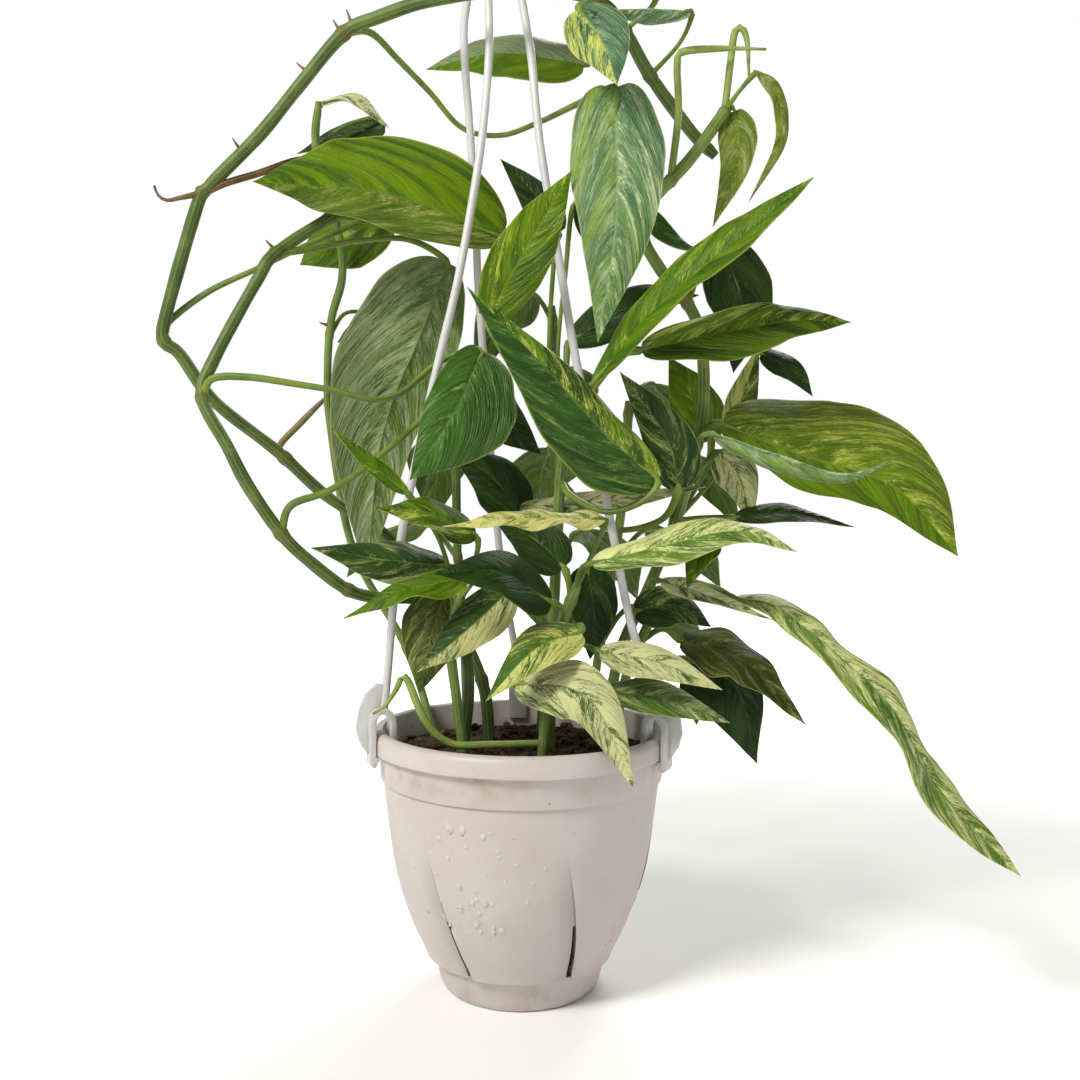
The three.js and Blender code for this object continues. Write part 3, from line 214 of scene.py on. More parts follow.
# Every leafy stem, in mm as in the part's source: its radius, its route from the soil, and its
# leaves. stalk carries a leaf, rib runs from the blade's base to its tip, face is the way its
# upper side looks, and width is across the blade laid flat.
STEMS = {
    "vine_inner": dict(radius=3.6, route=[(-35, -10, 136), (-30, -10, 170), (-34, -8, 199), (-43, -10, 216),
        (-61, -12, 221), (-79, -18, 222), (-95, -28, 227), (-114, -38, 243), (-128, -44, 258),
        (-145, -46, 283), (-156, -46, 304), (-171, -40, 330), (-167, -34, 350), (-147, -18, 397),
        (-139, -10, 413), (-113, 16, 440)], leaves={
        "broad_left": dict(stalk=[(-113, 16, 440), (-71, 41, 446), (-40, 48, 443), (-20, 42, 437)],
            rib=[(-13, 17, 429), (-72, 6, 449), (-116, -2, 452), (-151, -12, 452)], face=[(0, -0.93, 0.35)],
            width=66, lean=0.32, roll=0.4, wave=2),
        "grey_hanging": dict(stalk=[(-139, -10, 413), (-124, 2, 418), (-99, 24, 428), (-71, 46, 434)],
            rib=[(-48, 50, 421), (-64, 44, 376), (-86, 38, 315), (-94, 32, 229)], face=[(-0.2, 0.9, 0.3)],
            width=70, widest=0.48, lean=-0.25, wave=3),
        "three_corner": dict(stalk=[(-171, -40, 330), (-165, -42, 340), (-146, -42, 341), (-123, -40, 338),
            (-102, -36, 335), (-82, -26, 331), (-68, -8, 337), (-47, 2, 356)],
            rib=[(-24, -6, 361), (-35, -30, 328), (-60, -42, 287)], face=[(0.3, -0.9, 0.2)], width=52,
            widest=0.5, lean=-0.3, lobe=0.2),
        "shade_centre": dict(stalk=[(-128, -44, 258), (-123, -44, 273), (-104, -38, 281), (-84, -24, 296),
            (-58, -4, 322), (-44, 6, 340)], rib=[(-31, 12, 343), (-11, 16, 323), (10, 28, 304)],
            face=[(0, -0.9, 0.4)], width=32),
    }),
    "vine_outer": dict(radius=3.9, route=[(-19, 25, 136), (-25, 36, 168), (-52, 50, 215), (-83, 54, 252),
        (-122, 48, 279), (-149, 38, 305), (-181, 18, 333), (-198, 8, 359), (-206, 5, 366), (-205, 5, 381),
        (-187, 5, 443), (-180, 5, 454), (-151, 4, 483), (-128, 2, 510), (-103, 0, 538), (-82, -6, 545),
        (-53, -18, 549), (-17, -26, 551), (18, -26, 551), (40, -18, 549), (55, 0, 541), (71, 16, 522),
        (96, 26, 494), (109, 28, 482)], leaves={
        "bright_behind": dict(stalk=[(-206, 5, 371), (-204, 12, 380), (-183, 16, 397), (-156, 20, 411),
            (-134, 30, 425), (-104, 50, 445), (-88, 62, 459)],
            rib=[(-84, 68, 455), (-113, 70, 441), (-141, 64, 422)], face=[(0, -0.85, 0.5)], width=54,
            widest=0.52),
        "rising_stalk": dict(stalk=[(-146, 40, 301), (-151, 52, 309), (-141, 62, 323), (-126, 70, 340),
            (-113, 76, 350)]),
        "dry_root": dict(stalk=[(-184, 5, 450), (-195, 0, 446), (-202, -2, 444), (-207, -2, 447),
            (-209, -2, 452)]),
        "dry_petiole": dict(stalk=[(-183, 5, 450), (-171, 6, 456), (-152, 12, 464), (-133, 20, 474),
            (-116, 30, 479)]),
        "top_grey": dict(stalk=[(55, 0, 541), (49, 22, 542)],
            rib=[(34, 40, 537), (-16, 38, 543), (-60, 36, 532)], face=[(0, -0.85, 0.5)], width=44),
        "front_hanging": dict(stalk=[(-103, 0, 538), (-89, 8, 542), (-74, 24, 532), (-58, 36, 519),
            (-39, 42, 500), (-16, 40, 495), (7, 22, 497), (27, -10, 496)],
            rib=[(47, -42, 494), (48, -54, 425), (39, -52, 359)], face=[(-0.1, -0.95, 0.25)], width=52,
            widest=0.27, lobe=0.28, wave=2),
        "top_cream": dict(stalk=[(40, -18, 549), (34, -30, 545)],
            rib=[(28, -42, 535), (40, -56, 512), (47, -62, 488)], face=[(-0.2, -0.95, 0.2)], width=34),
        "rolled_top": dict(stalk=[(71, 16, 522), (86, -2, 534)],
            rib=[(90, -20, 543), (61, -32, 539), (31, -52, 529)], face=[(0, -0.8, 0.6)], width=15, roll=2.2,
            fold=0),
        "small_top": dict(stalk=[(55, 0, 541), (68, -6, 550)],
            rib=[(72, -8, 556), (62, -14, 562), (48, -18, 560)], face=[(0, -0.8, 0.6)], width=17),
    }),
    "stem_left": dict(radius=2.6, route=[(-49, 35, 136), (-74, 66, 182), (-109, 72, 245), (-122, 66, 320),
        (-123, 60, 356), (-120, 56, 387), (-113, 54, 413), (-115, 50, 440), (-127, 45, 487),
        (-125, 40, 511)], leaves={
        "small_green": dict(stalk=[(-121, 57, 378), (-113, 67, 393), (-97, 71, 393)],
            rib=[(-93, 71, 387), (-108, 72, 383), (-119, 71, 375)], face=[(0, -0.85, 0.5)], width=13),
        "curled_mint": dict(stalk=[(-127, 45, 487), (-127, 41, 505)],
            rib=[(-123, 40, 513), (-104, 36, 515), (-82, 34, 497)], face=[(0, -0.5, 0.85)], width=20),
        "dark_top_left": dict(stalk=[(-127, 45, 487), (-115, 58, 504), (-97, 68, 514)],
            rib=[(-89, 70, 509), (-117, 68, 503), (-143, 66, 491)], face=[(0, -0.8, 0.6)], width=24),
    }),
    "vine_right": dict(radius=3.6, route=[(46, 20, 136), (56, 15, 184), (72, 5, 226), (87, 0, 266),
        (98, -2, 309), (102, 0, 337), (100, 2, 371), (92, 0, 389), (77, -4, 406), (66, -4, 426),
        (70, 0, 444), (93, 5, 471), (113, 8, 499)], leaves={
        "light_folded": dict(stalk=[(113, 8, 499), (118, 9, 502)],
            rib=[(119, 10, 500), (121, 4, 471), (106, 0, 432)], face=[(-0.5, -0.8, 0.2)], width=24,
            fold=0.5),
        "narrow_droop": dict(stalk=[(113, 8, 499), (120, 0, 508)],
            rib=[(129, -4, 517), (140, -6, 504), (142, -8, 478), (124, -10, 443)], face=[(0.3, -0.9, 0.3)],
            width=11),
        "bare_stalk": dict(stalk=[(82, 3, 458), (86, 3, 496), (85, 2, 524), (89, 1, 530), (112, -1, 531),
            (134, -3, 530)]),
        "curled_stalk": dict(stalk=[(113, 8, 499), (116, 8, 527), (118, 7, 543), (122, 6, 545),
            (125, 5, 536), (126, 4, 514)]),
        "dark_round": dict(stalk=[(92, 0, 389), (101, 14, 412), (107, 22, 424)],
            rib=[(115, 24, 427), (127, 22, 392), (122, 20, 352)], face=[(0.1, -0.97, 0.2)], width=44,
            lobe=0.2),
        "small_dark": dict(stalk=[(66, -4, 426)], rib=[(65, -14, 440), (79, -17, 422), (98, -17, 414)],
            face=[(0.2, -0.8, 0.5)], width=16),
        "grey_right": dict(stalk=[(100, 2, 371), (124, 26, 376), (136, 40, 374)],
            rib=[(143, 46, 367), (161, 44, 358), (174, 42, 341)], face=[(0, -0.8, 0.6)], width=20),
        "big_right": dict(stalk=[(98, -2, 309), (102, -8, 318)],
            rib=[(110, -14, 320), (154, -18, 303), (203, -24, 286), (238, -28, 248)],
            face=[(0.1, -0.93, 0.35)], width=64, widest=0.58, lean=-0.4, wave=2.5, roll=0.6),
        "rolled_right": dict(stalk=[(98, -2, 309), (98, -24, 313)],
            rib=[(102, -38, 313), (132, -50, 301), (166, -56, 291), (191, -56, 298)], face=[(0, -0.8, 0.6)],
            width=18, roll=2.2, fold=0),
        "mottled_low": dict(stalk=[(92, -1, 286), (105, 4, 300)],
            rib=[(112, 6, 306), (125, 8, 290), (131, 6, 264)], face=[(0.1, -0.95, 0.3)], width=27),
        "bright_back": dict(stalk=[(87, 0, 266), (108, 30, 296)],
            rib=[(113, 42, 314), (101, 46, 341), (87, 48, 365)], face=[(0, -0.95, 0.3)], width=34),
        "cream_scrap": dict(stalk=[(87, 0, 266), (112, 22, 292)],
            rib=[(124, 40, 317), (133, 44, 344), (142, 46, 372)], face=[(-0.2, -0.95, 0.2)], width=19),
        "dark_low_right": dict(stalk=[(87, 0, 266), (104, 2, 268)],
            rib=[(121, 2, 268), (152, 2, 271), (188, -2, 263)], face=[(0, -0.7, 0.7)], width=17),
    }),
    "stem_right": dict(radius=3, route=[(51, -5, 136), (57, -8, 170), (67, -8, 198), (79, -8, 221),
        (94, -10, 232)], leaves={
        "ribbon": dict(stalk=[(94, -10, 232), (108, -22, 229)],
            rib=[(116, -30, 224), (137, -35, 221), (154, -41, 208), (174, -48, 191), (194, -54, 171),
            (207, -58, 149), (218, -61, 128), (238, -64, 106), (260, -66, 84)],
            face=[(0, -0.6, 0.8), (0.5, -0.8, 0.5), (0.6, -0.7, 0.4), (0.6, -0.8, 0.5), (0.8, -0.6, 0.3),
            (0.6, -0.8, 0.5), (0.3, -0.9, 0.5)], width=31, widest=0.76, wave=1.5, waves=4),
        "pale_sheath": dict(stalk=[(79, -8, 221), (70, -24, 232)],
            rib=[(75, -36, 234), (96, -41, 228), (134, -45, 214)], face=[(0.3, -0.8, 0.5)], width=13),
        "olive_cream": dict(stalk=[(67, -8, 198), (80, -2, 204)],
            rib=[(91, 4, 197), (128, 2, 185), (162, -4, 150)], face=[(0.3, -0.7, 0.65)], width=35, wave=3,
            waves=3),
        "dark_low": dict(stalk=[(57, -8, 170), (82, 12, 182), (92, 20, 184)],
            rib=[(99, 26, 182), (127, 24, 166), (139, 20, 122)], face=[(0.3, -0.9, 0.3)], width=56,
            lean=0.25),
        "shade_right": dict(stalk=[(66, -8, 196), (60, -18, 210)],
            rib=[(62, -24, 216), (84, -26, 220), (104, -26, 208)], face=[(0, -0.8, 0.6)], width=28),
        "small_lime": dict(stalk=[(94, -10, 232), (102, -34, 254)],
            rib=[(102, -46, 257), (93, -52, 248), (87, -52, 231)], face=[(-0.4, -0.8, 0.4)], width=18),
    }),
    "stem_front": dict(radius=3.2, route=[(11, -25, 136), (14, -30, 168), (19, -32, 201), (29, -36, 229)]
        , leaves={
        "whitish_mint": dict(stalk=[(29, -36, 229), (31, -46, 240)],
            rib=[(37, -52, 244), (74, -60, 254), (112, -64, 262), (143, -60, 251)], face=[(0, -0.75, 0.7)],
            width=25, wave=2),
        "nearly_white": dict(stalk=[(19, -32, 201), (31, -46, 201)],
            rib=[(41, -55, 198), (73, -62, 193), (104, -66, 180)], face=[(0, -0.75, 0.65)], width=23),
        "grey_green": dict(stalk=[(14, -30, 168), (31, -36, 178)],
            rib=[(46, -45, 176), (79, -53, 172), (110, -56, 161)], face=[(0, -0.8, 0.6)], width=22),
        "over_rim": dict(stalk=[(14, -30, 168), (-1, -46, 178)],
            rib=[(-2, -55, 181), (34, -80, 178), (58, -84, 133)], face=[(-0.2, -0.85, 0.5)], width=32,
            wave=2),
        "cream_green": dict(stalk=[(19, -32, 201), (30, -52, 211)],
            rib=[(31, -62, 209), (8, -76, 202), (-17, -82, 176)], face=[(-0.1, -0.8, 0.6)], width=28),
        "cream_patch": dict(stalk=[(19, -32, 201), (2, -40, 224)],
            rib=[(-5, -46, 230), (-27, -58, 210), (-54, -60, 187)], face=[(0.2, -0.85, 0.5)], width=28,
            wave=2),
        "solid_green": dict(stalk=[(19, -32, 201), (22, -50, 218)],
            rib=[(16, -62, 224), (-10, -80, 241), (-43, -86, 240)], face=[(-0.1, -0.75, 0.65)], width=34),
        "shade_front": dict(stalk=[(27, -35, 223), (25, -28, 234)],
            rib=[(23, -26, 240), (6, -23, 256), (-16, -20, 266)], face=[(0, -0.85, 0.5)], width=32),
        "cream_wavy": dict(stalk=[(29, -36, 229), (40, -40, 254)],
            rib=[(44, -46, 267), (4, -64, 268), (-40, -72, 263)], face=[(0, -0.7, 0.7)], width=15, wave=2.5,
            waves=3),
        "low_runner": dict(stalk=[(12, -26, 143), (-17, -40, 145), (-38, -46, 147), (-51, -50, 161),
            (-61, -50, 183), (-66, -50, 176), (-72, -47, 167), (-79, -43, 162)]),
    }),
    "stem_front_left": dict(radius=3, route=[(-29, -30, 136), (-35, -34, 168), (-38, -38, 201),
        (-32, -40, 228)], leaves={
        "dark_mint": dict(stalk=[(-38, -38, 201), (-32, -40, 232)],
            rib=[(-39, -42, 241), (-72, -50, 245), (-110, -54, 251)], face=[(0, -0.75, 0.7)], width=32),
        "lime_low": dict(stalk=[(-33, -40, 224), (-26, -52, 233)],
            rib=[(-27, -60, 236), (-58, -70, 231), (-90, -72, 216)], face=[(-0.1, -0.7, 0.7)], width=18,
            wave=2),
        "narrow_lime": dict(stalk=[(-34, -39, 219), (-44, -46, 256)],
            rib=[(-60, -52, 280), (-78, -56, 295), (-99, -56, 313)], face=[(-0.3, -0.8, 0.5)], width=10),
        "lime_dark": dict(stalk=[(-32, -40, 228), (-24, -44, 248)],
            rib=[(-24, -48, 258), (-48, -60, 270), (-75, -64, 272)], face=[(0, -0.75, 0.65)], width=24,
            wave=2),
        "dark_cream": dict(stalk=[(-38, -38, 201), (-37, -32, 222)],
            rib=[(-42, -28, 226), (-50, -32, 200), (-55, -36, 172)], face=[(-0.1, -0.97, 0.1)], width=38),
    }),
    "stem_centre": dict(radius=3.4, route=[(16, 10, 136), (17, 12, 184), (19, 8, 242), (21, -4, 288),
        (25, -24, 312), (34, -38, 333)], leaves={
        "large_diagonal": dict(stalk=[(21, -4, 288), (27, -22, 279), (45, -39, 271), (64, -43, 277)],
            rib=[(72, -42, 288), (42, -50, 313), (11, -58, 346), (-29, -60, 386)],
            face=[(-0.15, -0.9, 0.45)], width=42, lean=-0.35, wave=2),
        "tall_streaked": dict(stalk=[(34, -38, 333), (36, -44, 337)],
            rib=[(37, -48, 339), (68, -58, 376), (105, -68, 407), (144, -78, 438)],
            face=[(-0.5, -0.75, 0.5)], width=27, widest=0.68, fold=0.4),
        "bright_right": dict(stalk=[(34, -38, 333), (52, -34, 354)],
            rib=[(63, -34, 358), (113, -40, 368), (144, -43, 373), (173, -44, 372)], face=[(0, -0.85, 0.5)],
            width=34, wave=1.5),
        "mint_behind": dict(stalk=[(19, 8, 242), (2, 8, 268)],
            rib=[(-2, 6, 273), (49, 2, 277), (101, -20, 285)], face=[(0, -0.7, 0.7)], width=18),
        "lime_upright": dict(stalk=[(25, -24, 312), (-2, -26, 343)],
            rib=[(-20, -32, 374), (4, -46, 414), (25, -50, 449)], face=[(0.2, -0.95, 0.2)], width=33,
            wave=2, waves=3),
        "shade_middle": dict(stalk=[(19, 8, 246), (6, 10, 260)],
            rib=[(0, 8, 266), (-18, 6, 290), (-42, 4, 303)], face=[(0, -0.9, 0.4)], width=34),
        "shade_low": dict(stalk=[(17, 12, 186), (30, -2, 215)],
            rib=[(36, -10, 240), (40, -14, 215), (38, -18, 188)], face=[(0, -0.95, 0.3)], width=30),
        "dark_behind": dict(stalk=[(19, 8, 242), (16, 30, 319), (14, 38, 367), (17, 40, 424)],
            rib=[(20, 42, 438), (4, 44, 462), (-16, 44, 482)], face=[(0, -0.85, 0.5)], width=25),
        "dark_right": dict(stalk=[(21, -4, 288), (24, 20, 352)],
            rib=[(26, 26, 370), (67, 24, 394), (102, 24, 398)], face=[(0, -0.8, 0.6)], width=34),
        "dark_stripe": dict(stalk=[(21, -4, 288), (46, -12, 262), (76, -18, 266)],
            rib=[(86, -20, 284), (78, -26, 312), (52, -30, 347)], face=[(-0.4, -0.9, 0.1)], width=32),
        "hidden_hanging": dict(stalk=[(21, -4, 288), (19, 8, 359), (23, 6, 407), (26, 2, 440)],
            rib=[(30, -2, 444), (42, 0, 427), (47, 2, 398)], face=[(0, -0.95, 0.3)], width=22),
    }),
}

# Stems on the far side, in mm; of each leaf: the height it grows at, its turn in degrees, its
# stalk, length and width, and how far its tip drops
BACK_STEMS = {
    "stem_back_left": dict(route=[(-34, 52, 136), (-37, 58, 180), (-42, 66, 240), (-44, 70, 300),
        (-46, 68, 350), (-50, 66, 392)],
        leaves=[(190, 108, 34, 82, 46, 42), (240, 137, 40, 84, 46, 40), (298, 103, 42, 94, 52, 60),
            (346, 146, 36, 84, 46, 56), (388, 118, 34, 84, 46, 38)]),
    "stem_back": dict(route=[(10, 52, 136), (14, 58, 180), (20, 66, 240), (22, 70, 300), (20, 72, 350),
        (16, 70, 395)],
        leaves=[(186, 82, 34, 82, 46, 40), (236, 58, 40, 90, 50, 52), (290, 98, 44, 94, 52, 58),
            (344, 84, 38, 88, 46, 52), (390, 122, 34, 84, 44, 50)]),
    "stem_back_right": dict(route=[(40, 46, 136), (46, 52, 180), (56, 58, 240), (62, 60, 290),
        (64, 60, 335)],
        leaves=[(188, 40, 32, 76, 42, 34), (238, 46, 44, 84, 46, 44), (288, 34, 40, 84, 46, 56),
            (331, 60, 36, 86, 46, 46)]),
}

# The hanger's strands, in mm, from the clip up to the hub
STRANDS = {
    "strand_left": [(-76, -27.5, 160), (-74, -27, 176), (-68, -22, 249), (-58, -18, 304), (-46, -14, 360),
        (-36, -11, 405), (-25, -6, 475), (-21, -2, 529), (-22, -1, 570), (-22, -1.5, 593)],
    "strand_right": [(73.5, -34.3, 160), (71, -33, 176), (59, -31, 212), (49, -27, 261), (42, -24, 294),
        (29, -18, 353), (19, -13, 410), (8, -7, 476), (2, -4, 529), (-6, -3, 570), (-15, -1.5, 593)],
    "strand_back": [(-4.2, 81, 160), (-5, 78, 176), (-14, 66, 230), (-20, 56, 292), (-28, 39, 396),
        (-30, 34, 440), (-33, 25, 491), (-36, 11, 545), (-29, 6, 575), (-20, 4, 593)],
}


def metres(value):
    """A length in mm, or any list of them, in metres."""
    if isinstance(value, (list, tuple)):
        return type(value)(metres(part) for part in value)
    return value / 1000


def in_metres(row):
    """A row of the tables above with its lengths in metres."""
    lengths = ("radius", "route", "stalk", "rib", "width", "wave")
    return {key: metres(value) if key in lengths else value for key, value in row.items()}


def colour(text, alpha=1.0):
    """A finish colour, given as a screen colour, in the shader's linear values."""
    parts = [int(text[i:i + 2], 16) / 255 for i in (1, 3, 5)]
    return [p / 12.92 if p < 0.04045 else ((p + 0.055) / 1.055) ** 2.4 for p in parts] + [alpha]


class Finish:
    """A procedural material, wired up node by node."""

    def __init__(self, name):
        self.material = bpy.data.materials.new(name)
        self.material.use_nodes = True
        self.tree = self.material.node_tree
        self.shader = self.tree.nodes["Principled BSDF"]

    def node(self, kind, inputs=None, **settings):
        new = self.tree.nodes.new(kind)
        for key, value in settings.items():
            setattr(new, key, value)
        for key, value in (inputs or {}).items():
            self.feed(new.inputs[key], value)
        return new

    def feed(self, socket, value):
        if isinstance(value, bpy.types.NodeSocket):
            self.tree.links.new(value, socket)
        else:
            socket.default_value = value

    def math(self, operation, *values, clamp=False):
        inputs = dict(enumerate(values))
        return self.node("ShaderNodeMath", inputs, operation=operation, use_clamp=clamp).outputs[0]

    def times(self, a, b):
        return self.math("MULTIPLY", a, b)

    def plus(self, a, b):
        return self.math("ADD", a, b)

    def weighted(self, *parts):
        """Fields added up, each with its weight."""
        whole = self.times(*parts[0])
        for part in parts[1:]:
            whole = self.plus(whole, self.times(*part))
        return whole

    def step(self, value, low, high, to_low=0.0, to_high=1.0):
        """value turned smoothly from to_low, at low, to to_high, at high."""
        inputs = {"Value": value, "From Min": low, "From Max": high, "To Min": to_low, "To Max": to_high}
        return self.node("ShaderNodeMapRange", inputs, interpolation_type="SMOOTHSTEP").outputs[0]

    def mix(self, share, a, b):
        """Colour a turned into b by that share; a colour may be a socket or a screen colour."""
        a, b = (colour(value) if isinstance(value, str) else value for value in (a, b))
        new = self.node("ShaderNodeMix", data_type="RGBA")
        for index, value in {0: share, 6: a, 7: b}.items():
            self.feed(new.inputs[index], value)
        return new.outputs[2]

    def place(self):
        return self.node("ShaderNodeTexCoord").outputs["Object"]

    def uv(self, name):
        out = self.node("ShaderNodeUVMap", uv_map=name).outputs[0]
        axes = self.node("ShaderNodeSeparateXYZ", {0: out})
        return axes.outputs[0], axes.outputs[1]

    def noise(self, vector, scale, detail=3.0, roughness=0.55, distortion=0.0):
        inputs = {"Vector": vector, "Scale": scale, "Detail": detail, "Roughness": roughness,
            "Distortion": distortion}
        return self.node("ShaderNodeTexNoise", inputs).outputs[0]

    def cells(self, scale):
        """How far each place is from the middle of its cell."""
        inputs = {"Vector": self.place(), "Scale": scale}
        return self.node("ShaderNodeTexVoronoi", inputs).outputs["Distance"]

    def stretched(self, x, y, along):
        """A vector whose second axis is drawn out, for streaks that run along it."""
        return self.node("ShaderNodeCombineXYZ", {0: x, 1: self.times(y, along)}).outputs[0]

    def bump(self, height, strength, distance):
        inputs = {"Height": height, "Strength": strength, "Distance": distance}
        self.feed(self.shader.inputs["Normal"], self.node("ShaderNodeBump", inputs).outputs[0])

    def set(self, **sockets):
        """Feeds the shader's sockets, each named in small letters, and gives the material."""
        for key, value in sockets.items():
            self.feed(self.shader.inputs[key.replace("_", " ").title().replace("Ior", "IOR")], value)
        return self.material


def leaf_finish(name, colours, mint_left, mint_right, cream_left, cream_right, fleck, extra=None, vein=0.3,
        rough=0.36):
    """A marbled blade: streaks and veins both follow the side veins, out and forward from the rib."""
    extra = extra or {}
    vein = extra.get("vein", vein)
    green, deep, mint, cream = colours.split()
    made = Finish(name)
    u, v = made.uv("place")
    vein_at, along = made.uv("veins")
    across = made.math("SUBTRACT", made.times(v, 2.0), 1.0)
    side = made.math("ABSOLUTE", across)
    right = made.math("GREATER_THAN", across, 0.0)

    # Noise fields, from broad sectors down to flecks, all drawn out along the veins
    sector = made.noise(made.stretched(vein_at, along, 0.5), 0.6, 2.0)
    patch = made.noise(made.stretched(made.plus(vein_at, 31.0), along, 0.7), 0.9, 3.0, 0.55, 0.8)
    marble = made.noise(made.stretched(vein_at, along, 0.9), 4.4, 6.0, 0.74, 1.3)
    streak = made.noise(made.stretched(vein_at, along, 0.22), 17.0, 4.0, 0.7, 0.5)
    flecks = made.noise(made.stretched(vein_at, along, 0.6), 38.0, 4.0, 0.68, 0.5)

    # The blade's greens
    fresh = colour(green)
    if "other" in extra:
        fresh = made.mix(right, fresh, extra["other"])
    if "tip" in extra:
        fresh = made.mix(made.step(u, 0.25, 0.8), fresh, extra["tip"])
    blade = made.mix(made.step(sector, 0.38, 0.62), deep, fresh)
    blade = made.mix(made.times(made.step(streak, 0.44, 0.62), 0.4), blade, fresh)

    def halves(left_share, right_share):
        return made.math("MULTIPLY_ADD", right, right_share - left_share, left_share)

    def cover(field, share, soft):
        """Where field passes the level that leaves about that share of the surface."""
        level = made.math("MULTIPLY_ADD", share, -0.3, 0.65)
        return made.step(made.math("SUBTRACT", field, level), -soft, soft)

    # Mint marbling first, then cream over it
    mint_field = made.weighted((marble, 0.4), (streak, 0.25), (patch, 0.35))
    mint_cover = cover(mint_field, halves(mint_left, mint_right), 0.05)
    blade = made.mix(made.times(mint_cover, 0.72), blade, mint)
    cream_field = made.weighted((streak, 0.3), (marble, 0.42), (patch, 0.28))
    cream_cover = cover(cream_field, halves(cream_left, cream_right), 0.02)
    fleck_field = made.weighted((flecks, 0.55), (patch, 0.45))
    fleck_cover = cover(fleck_field, halves(cream_left * 0.8, cream_right * 0.8), 0.015)
    cream_cover = made.math("MAXIMUM", cream_cover, made.times(fleck_cover, fleck))
    cream_skin = made.mix(made.times(made.step(flecks, 0.42, 0.6), 0.3), cream, mint)
    blade = made.mix(cream_cover, blade, cream_skin)

    # Fine dots, pale veins, the rib and a thin margin
    dots = made.step(made.noise(made.place(), 1100.0, 2.0, 0.6), 0.6, 0.7)
    blade = made.mix(made.times(dots, 0.16 * fleck), blade, mint)
    swayed = made.plus(vein_at, made.times(sector, 0.9))
    wave = made.math("SINE", made.times(swayed, TURN * 0.01 / VEIN_SPACING))
    fold = made.times(wave, made.step(side, 0.98, 0.5))
    ridge = made.math("POWER", made.math("ABSOLUTE", wave), 12.0)
    blade = made.mix(made.times(ridge, vein * 0.12), blade, mint)
    blade = made.mix(made.times(made.step(side, 0.05, 0.018), 0.55), blade, made.mix(0.5, mint, green))
    blade = made.mix(made.times(made.step(side, 0.955, 0.995), 0.5), blade, cream)
    pucker = made.noise(made.stretched(vein_at, along, 0.5), 3.0, 3.0)
    grain = made.noise(made.place(), 900.0, 2.0)
    made.bump(made.weighted((fold, 0.05 + 0.2 * vein), (pucker, 2.6), (grain, 0.06)), 0.8, 0.001)
    return made.set(base_color=blade, roughness=made.step(flecks, 0.3, 0.7, rough - 0.1, rough + 0.1),
        specular_ior_level=0.17)


def stalk_finish(name, green, pale, shade, brown="#6d4a2c", rough=0.45):
    """A green stalk or vine: lengthwise lines, clouding, and brown corky scars at its rings."""
    made = Finish(name)
    around = made.uv("place")[1]
    scar = made.node("ShaderNodeAttribute", attribute_name="scar").outputs["Fac"]
    lines = made.math("SINE", made.times(around, TURN * 9))
    cloud = made.noise(made.place(), 60.0, 3.0)
    skin = made.mix(made.step(cloud, 0.35, 0.65), green, shade)
    skin = made.mix(made.times(made.step(lines, 0.0, 1.0), 0.34), skin, pale)
    speck = made.noise(made.place(), 420.0, 2.0)
    skin = made.mix(made.times(made.step(speck, 0.62, 0.7), 0.22), skin, pale)
    rough_scar = made.times(scar, made.step(made.noise(made.place(), 300.0), 0.3, 0.6, 0.4, 1.0))
    height = made.weighted((lines, 0.25), (cloud, 0.3), (scar, speck))
    made.bump(height, 0.25, 0.0003)
    return made.set(base_color=made.mix(rough_scar, skin, brown),
        roughness=made.step(scar, 0.0, 1.0, rough, 0.8),
        specular_ior_level=0.22)


def pot_finish():
    """Warm off-white plastic: faint clouding and specks, with painted shade: brownish under the rim, towards
    the foot, and in the louvre creases.
    """
    made = Finish("pot_plastic_aged_and_shaded")
    place = made.place()
    x, y, height = made.node("ShaderNodeSeparateXYZ", {0: place}).outputs
    cloud = made.noise(place, 16.0, 3.0)
    skin = made.mix(made.step(cloud, 0.35, 0.65), "#c2b8b2", "#bbb0aa")
    # Painted shade under the rim: the band below the lip darkened brownish, in blotches.
    under_rim_shade_band = made.times(made.step(height, 0.117, 0.13), made.step(height, 0.138, 0.1365))
    under_rim_shade = made.times(under_rim_shade_band, made.step(made.noise(place, 45.0, 5.0), 0.45, 0.7))
    skin = made.mix(made.times(under_rim_shade, 0.45), skin, "#94795a")
    # Painted shade towards the foot: the lowest part darkened brownish, in blotches.
    foot = made.times(made.step(height, 0.03, 0.01), made.step(made.noise(place, 80.0, 5.0), 0.5, 0.7))
    skin = made.mix(made.times(foot, 0.25), skin, "#84705c")
    # Painted shade in the louvre creases: each panel darkened just before the next panel's proud edge, fading
    # out up the wall.
    above = made.math("SUBTRACT", height, BAND_HEIGHT)
    rise = made.math("DIVIDE", above, PANEL_TOP - BAND_HEIGHT, clamp=True)
    turn = made.math("SUBTRACT", made.math("ARCTAN2", y, x), made.times(rise, PANEL_TWIST))
    across = made.math("FRACT", made.times(made.math("SUBTRACT", turn, FIRST_PANEL), PANELS / TURN))
    fade = made.times(made.step(rise, 1.0, 0.55), made.step(height, BAND_HEIGHT - 0.001, BAND_HEIGHT))
    crease_shade = made.weighted((made.step(across, 0.8, 1.0), 0.42), (made.step(across, 0.976, 0.995), 0.58))
    skin = made.mix(made.times(crease_shade, fade), skin, "#7d7068")
    rare = made.step(made.noise(place, 70.0, 2.0), 0.56, 0.62)
    speck = made.times(made.step(made.cells(150.0), 0.14, 0.07), rare)
    skin = made.mix(made.times(speck, 0.75), skin, "#6b5140")
    scuff = made.noise(place, 260.0, 4.0)
    made.bump(made.plus(scuff, made.times(cloud, 2.0)), 0.08, 0.0003)
    return made.set(base_color=skin, roughness=made.step(scuff, 0.3, 0.7, 0.34, 0.5), specular_ior_level=0.45)


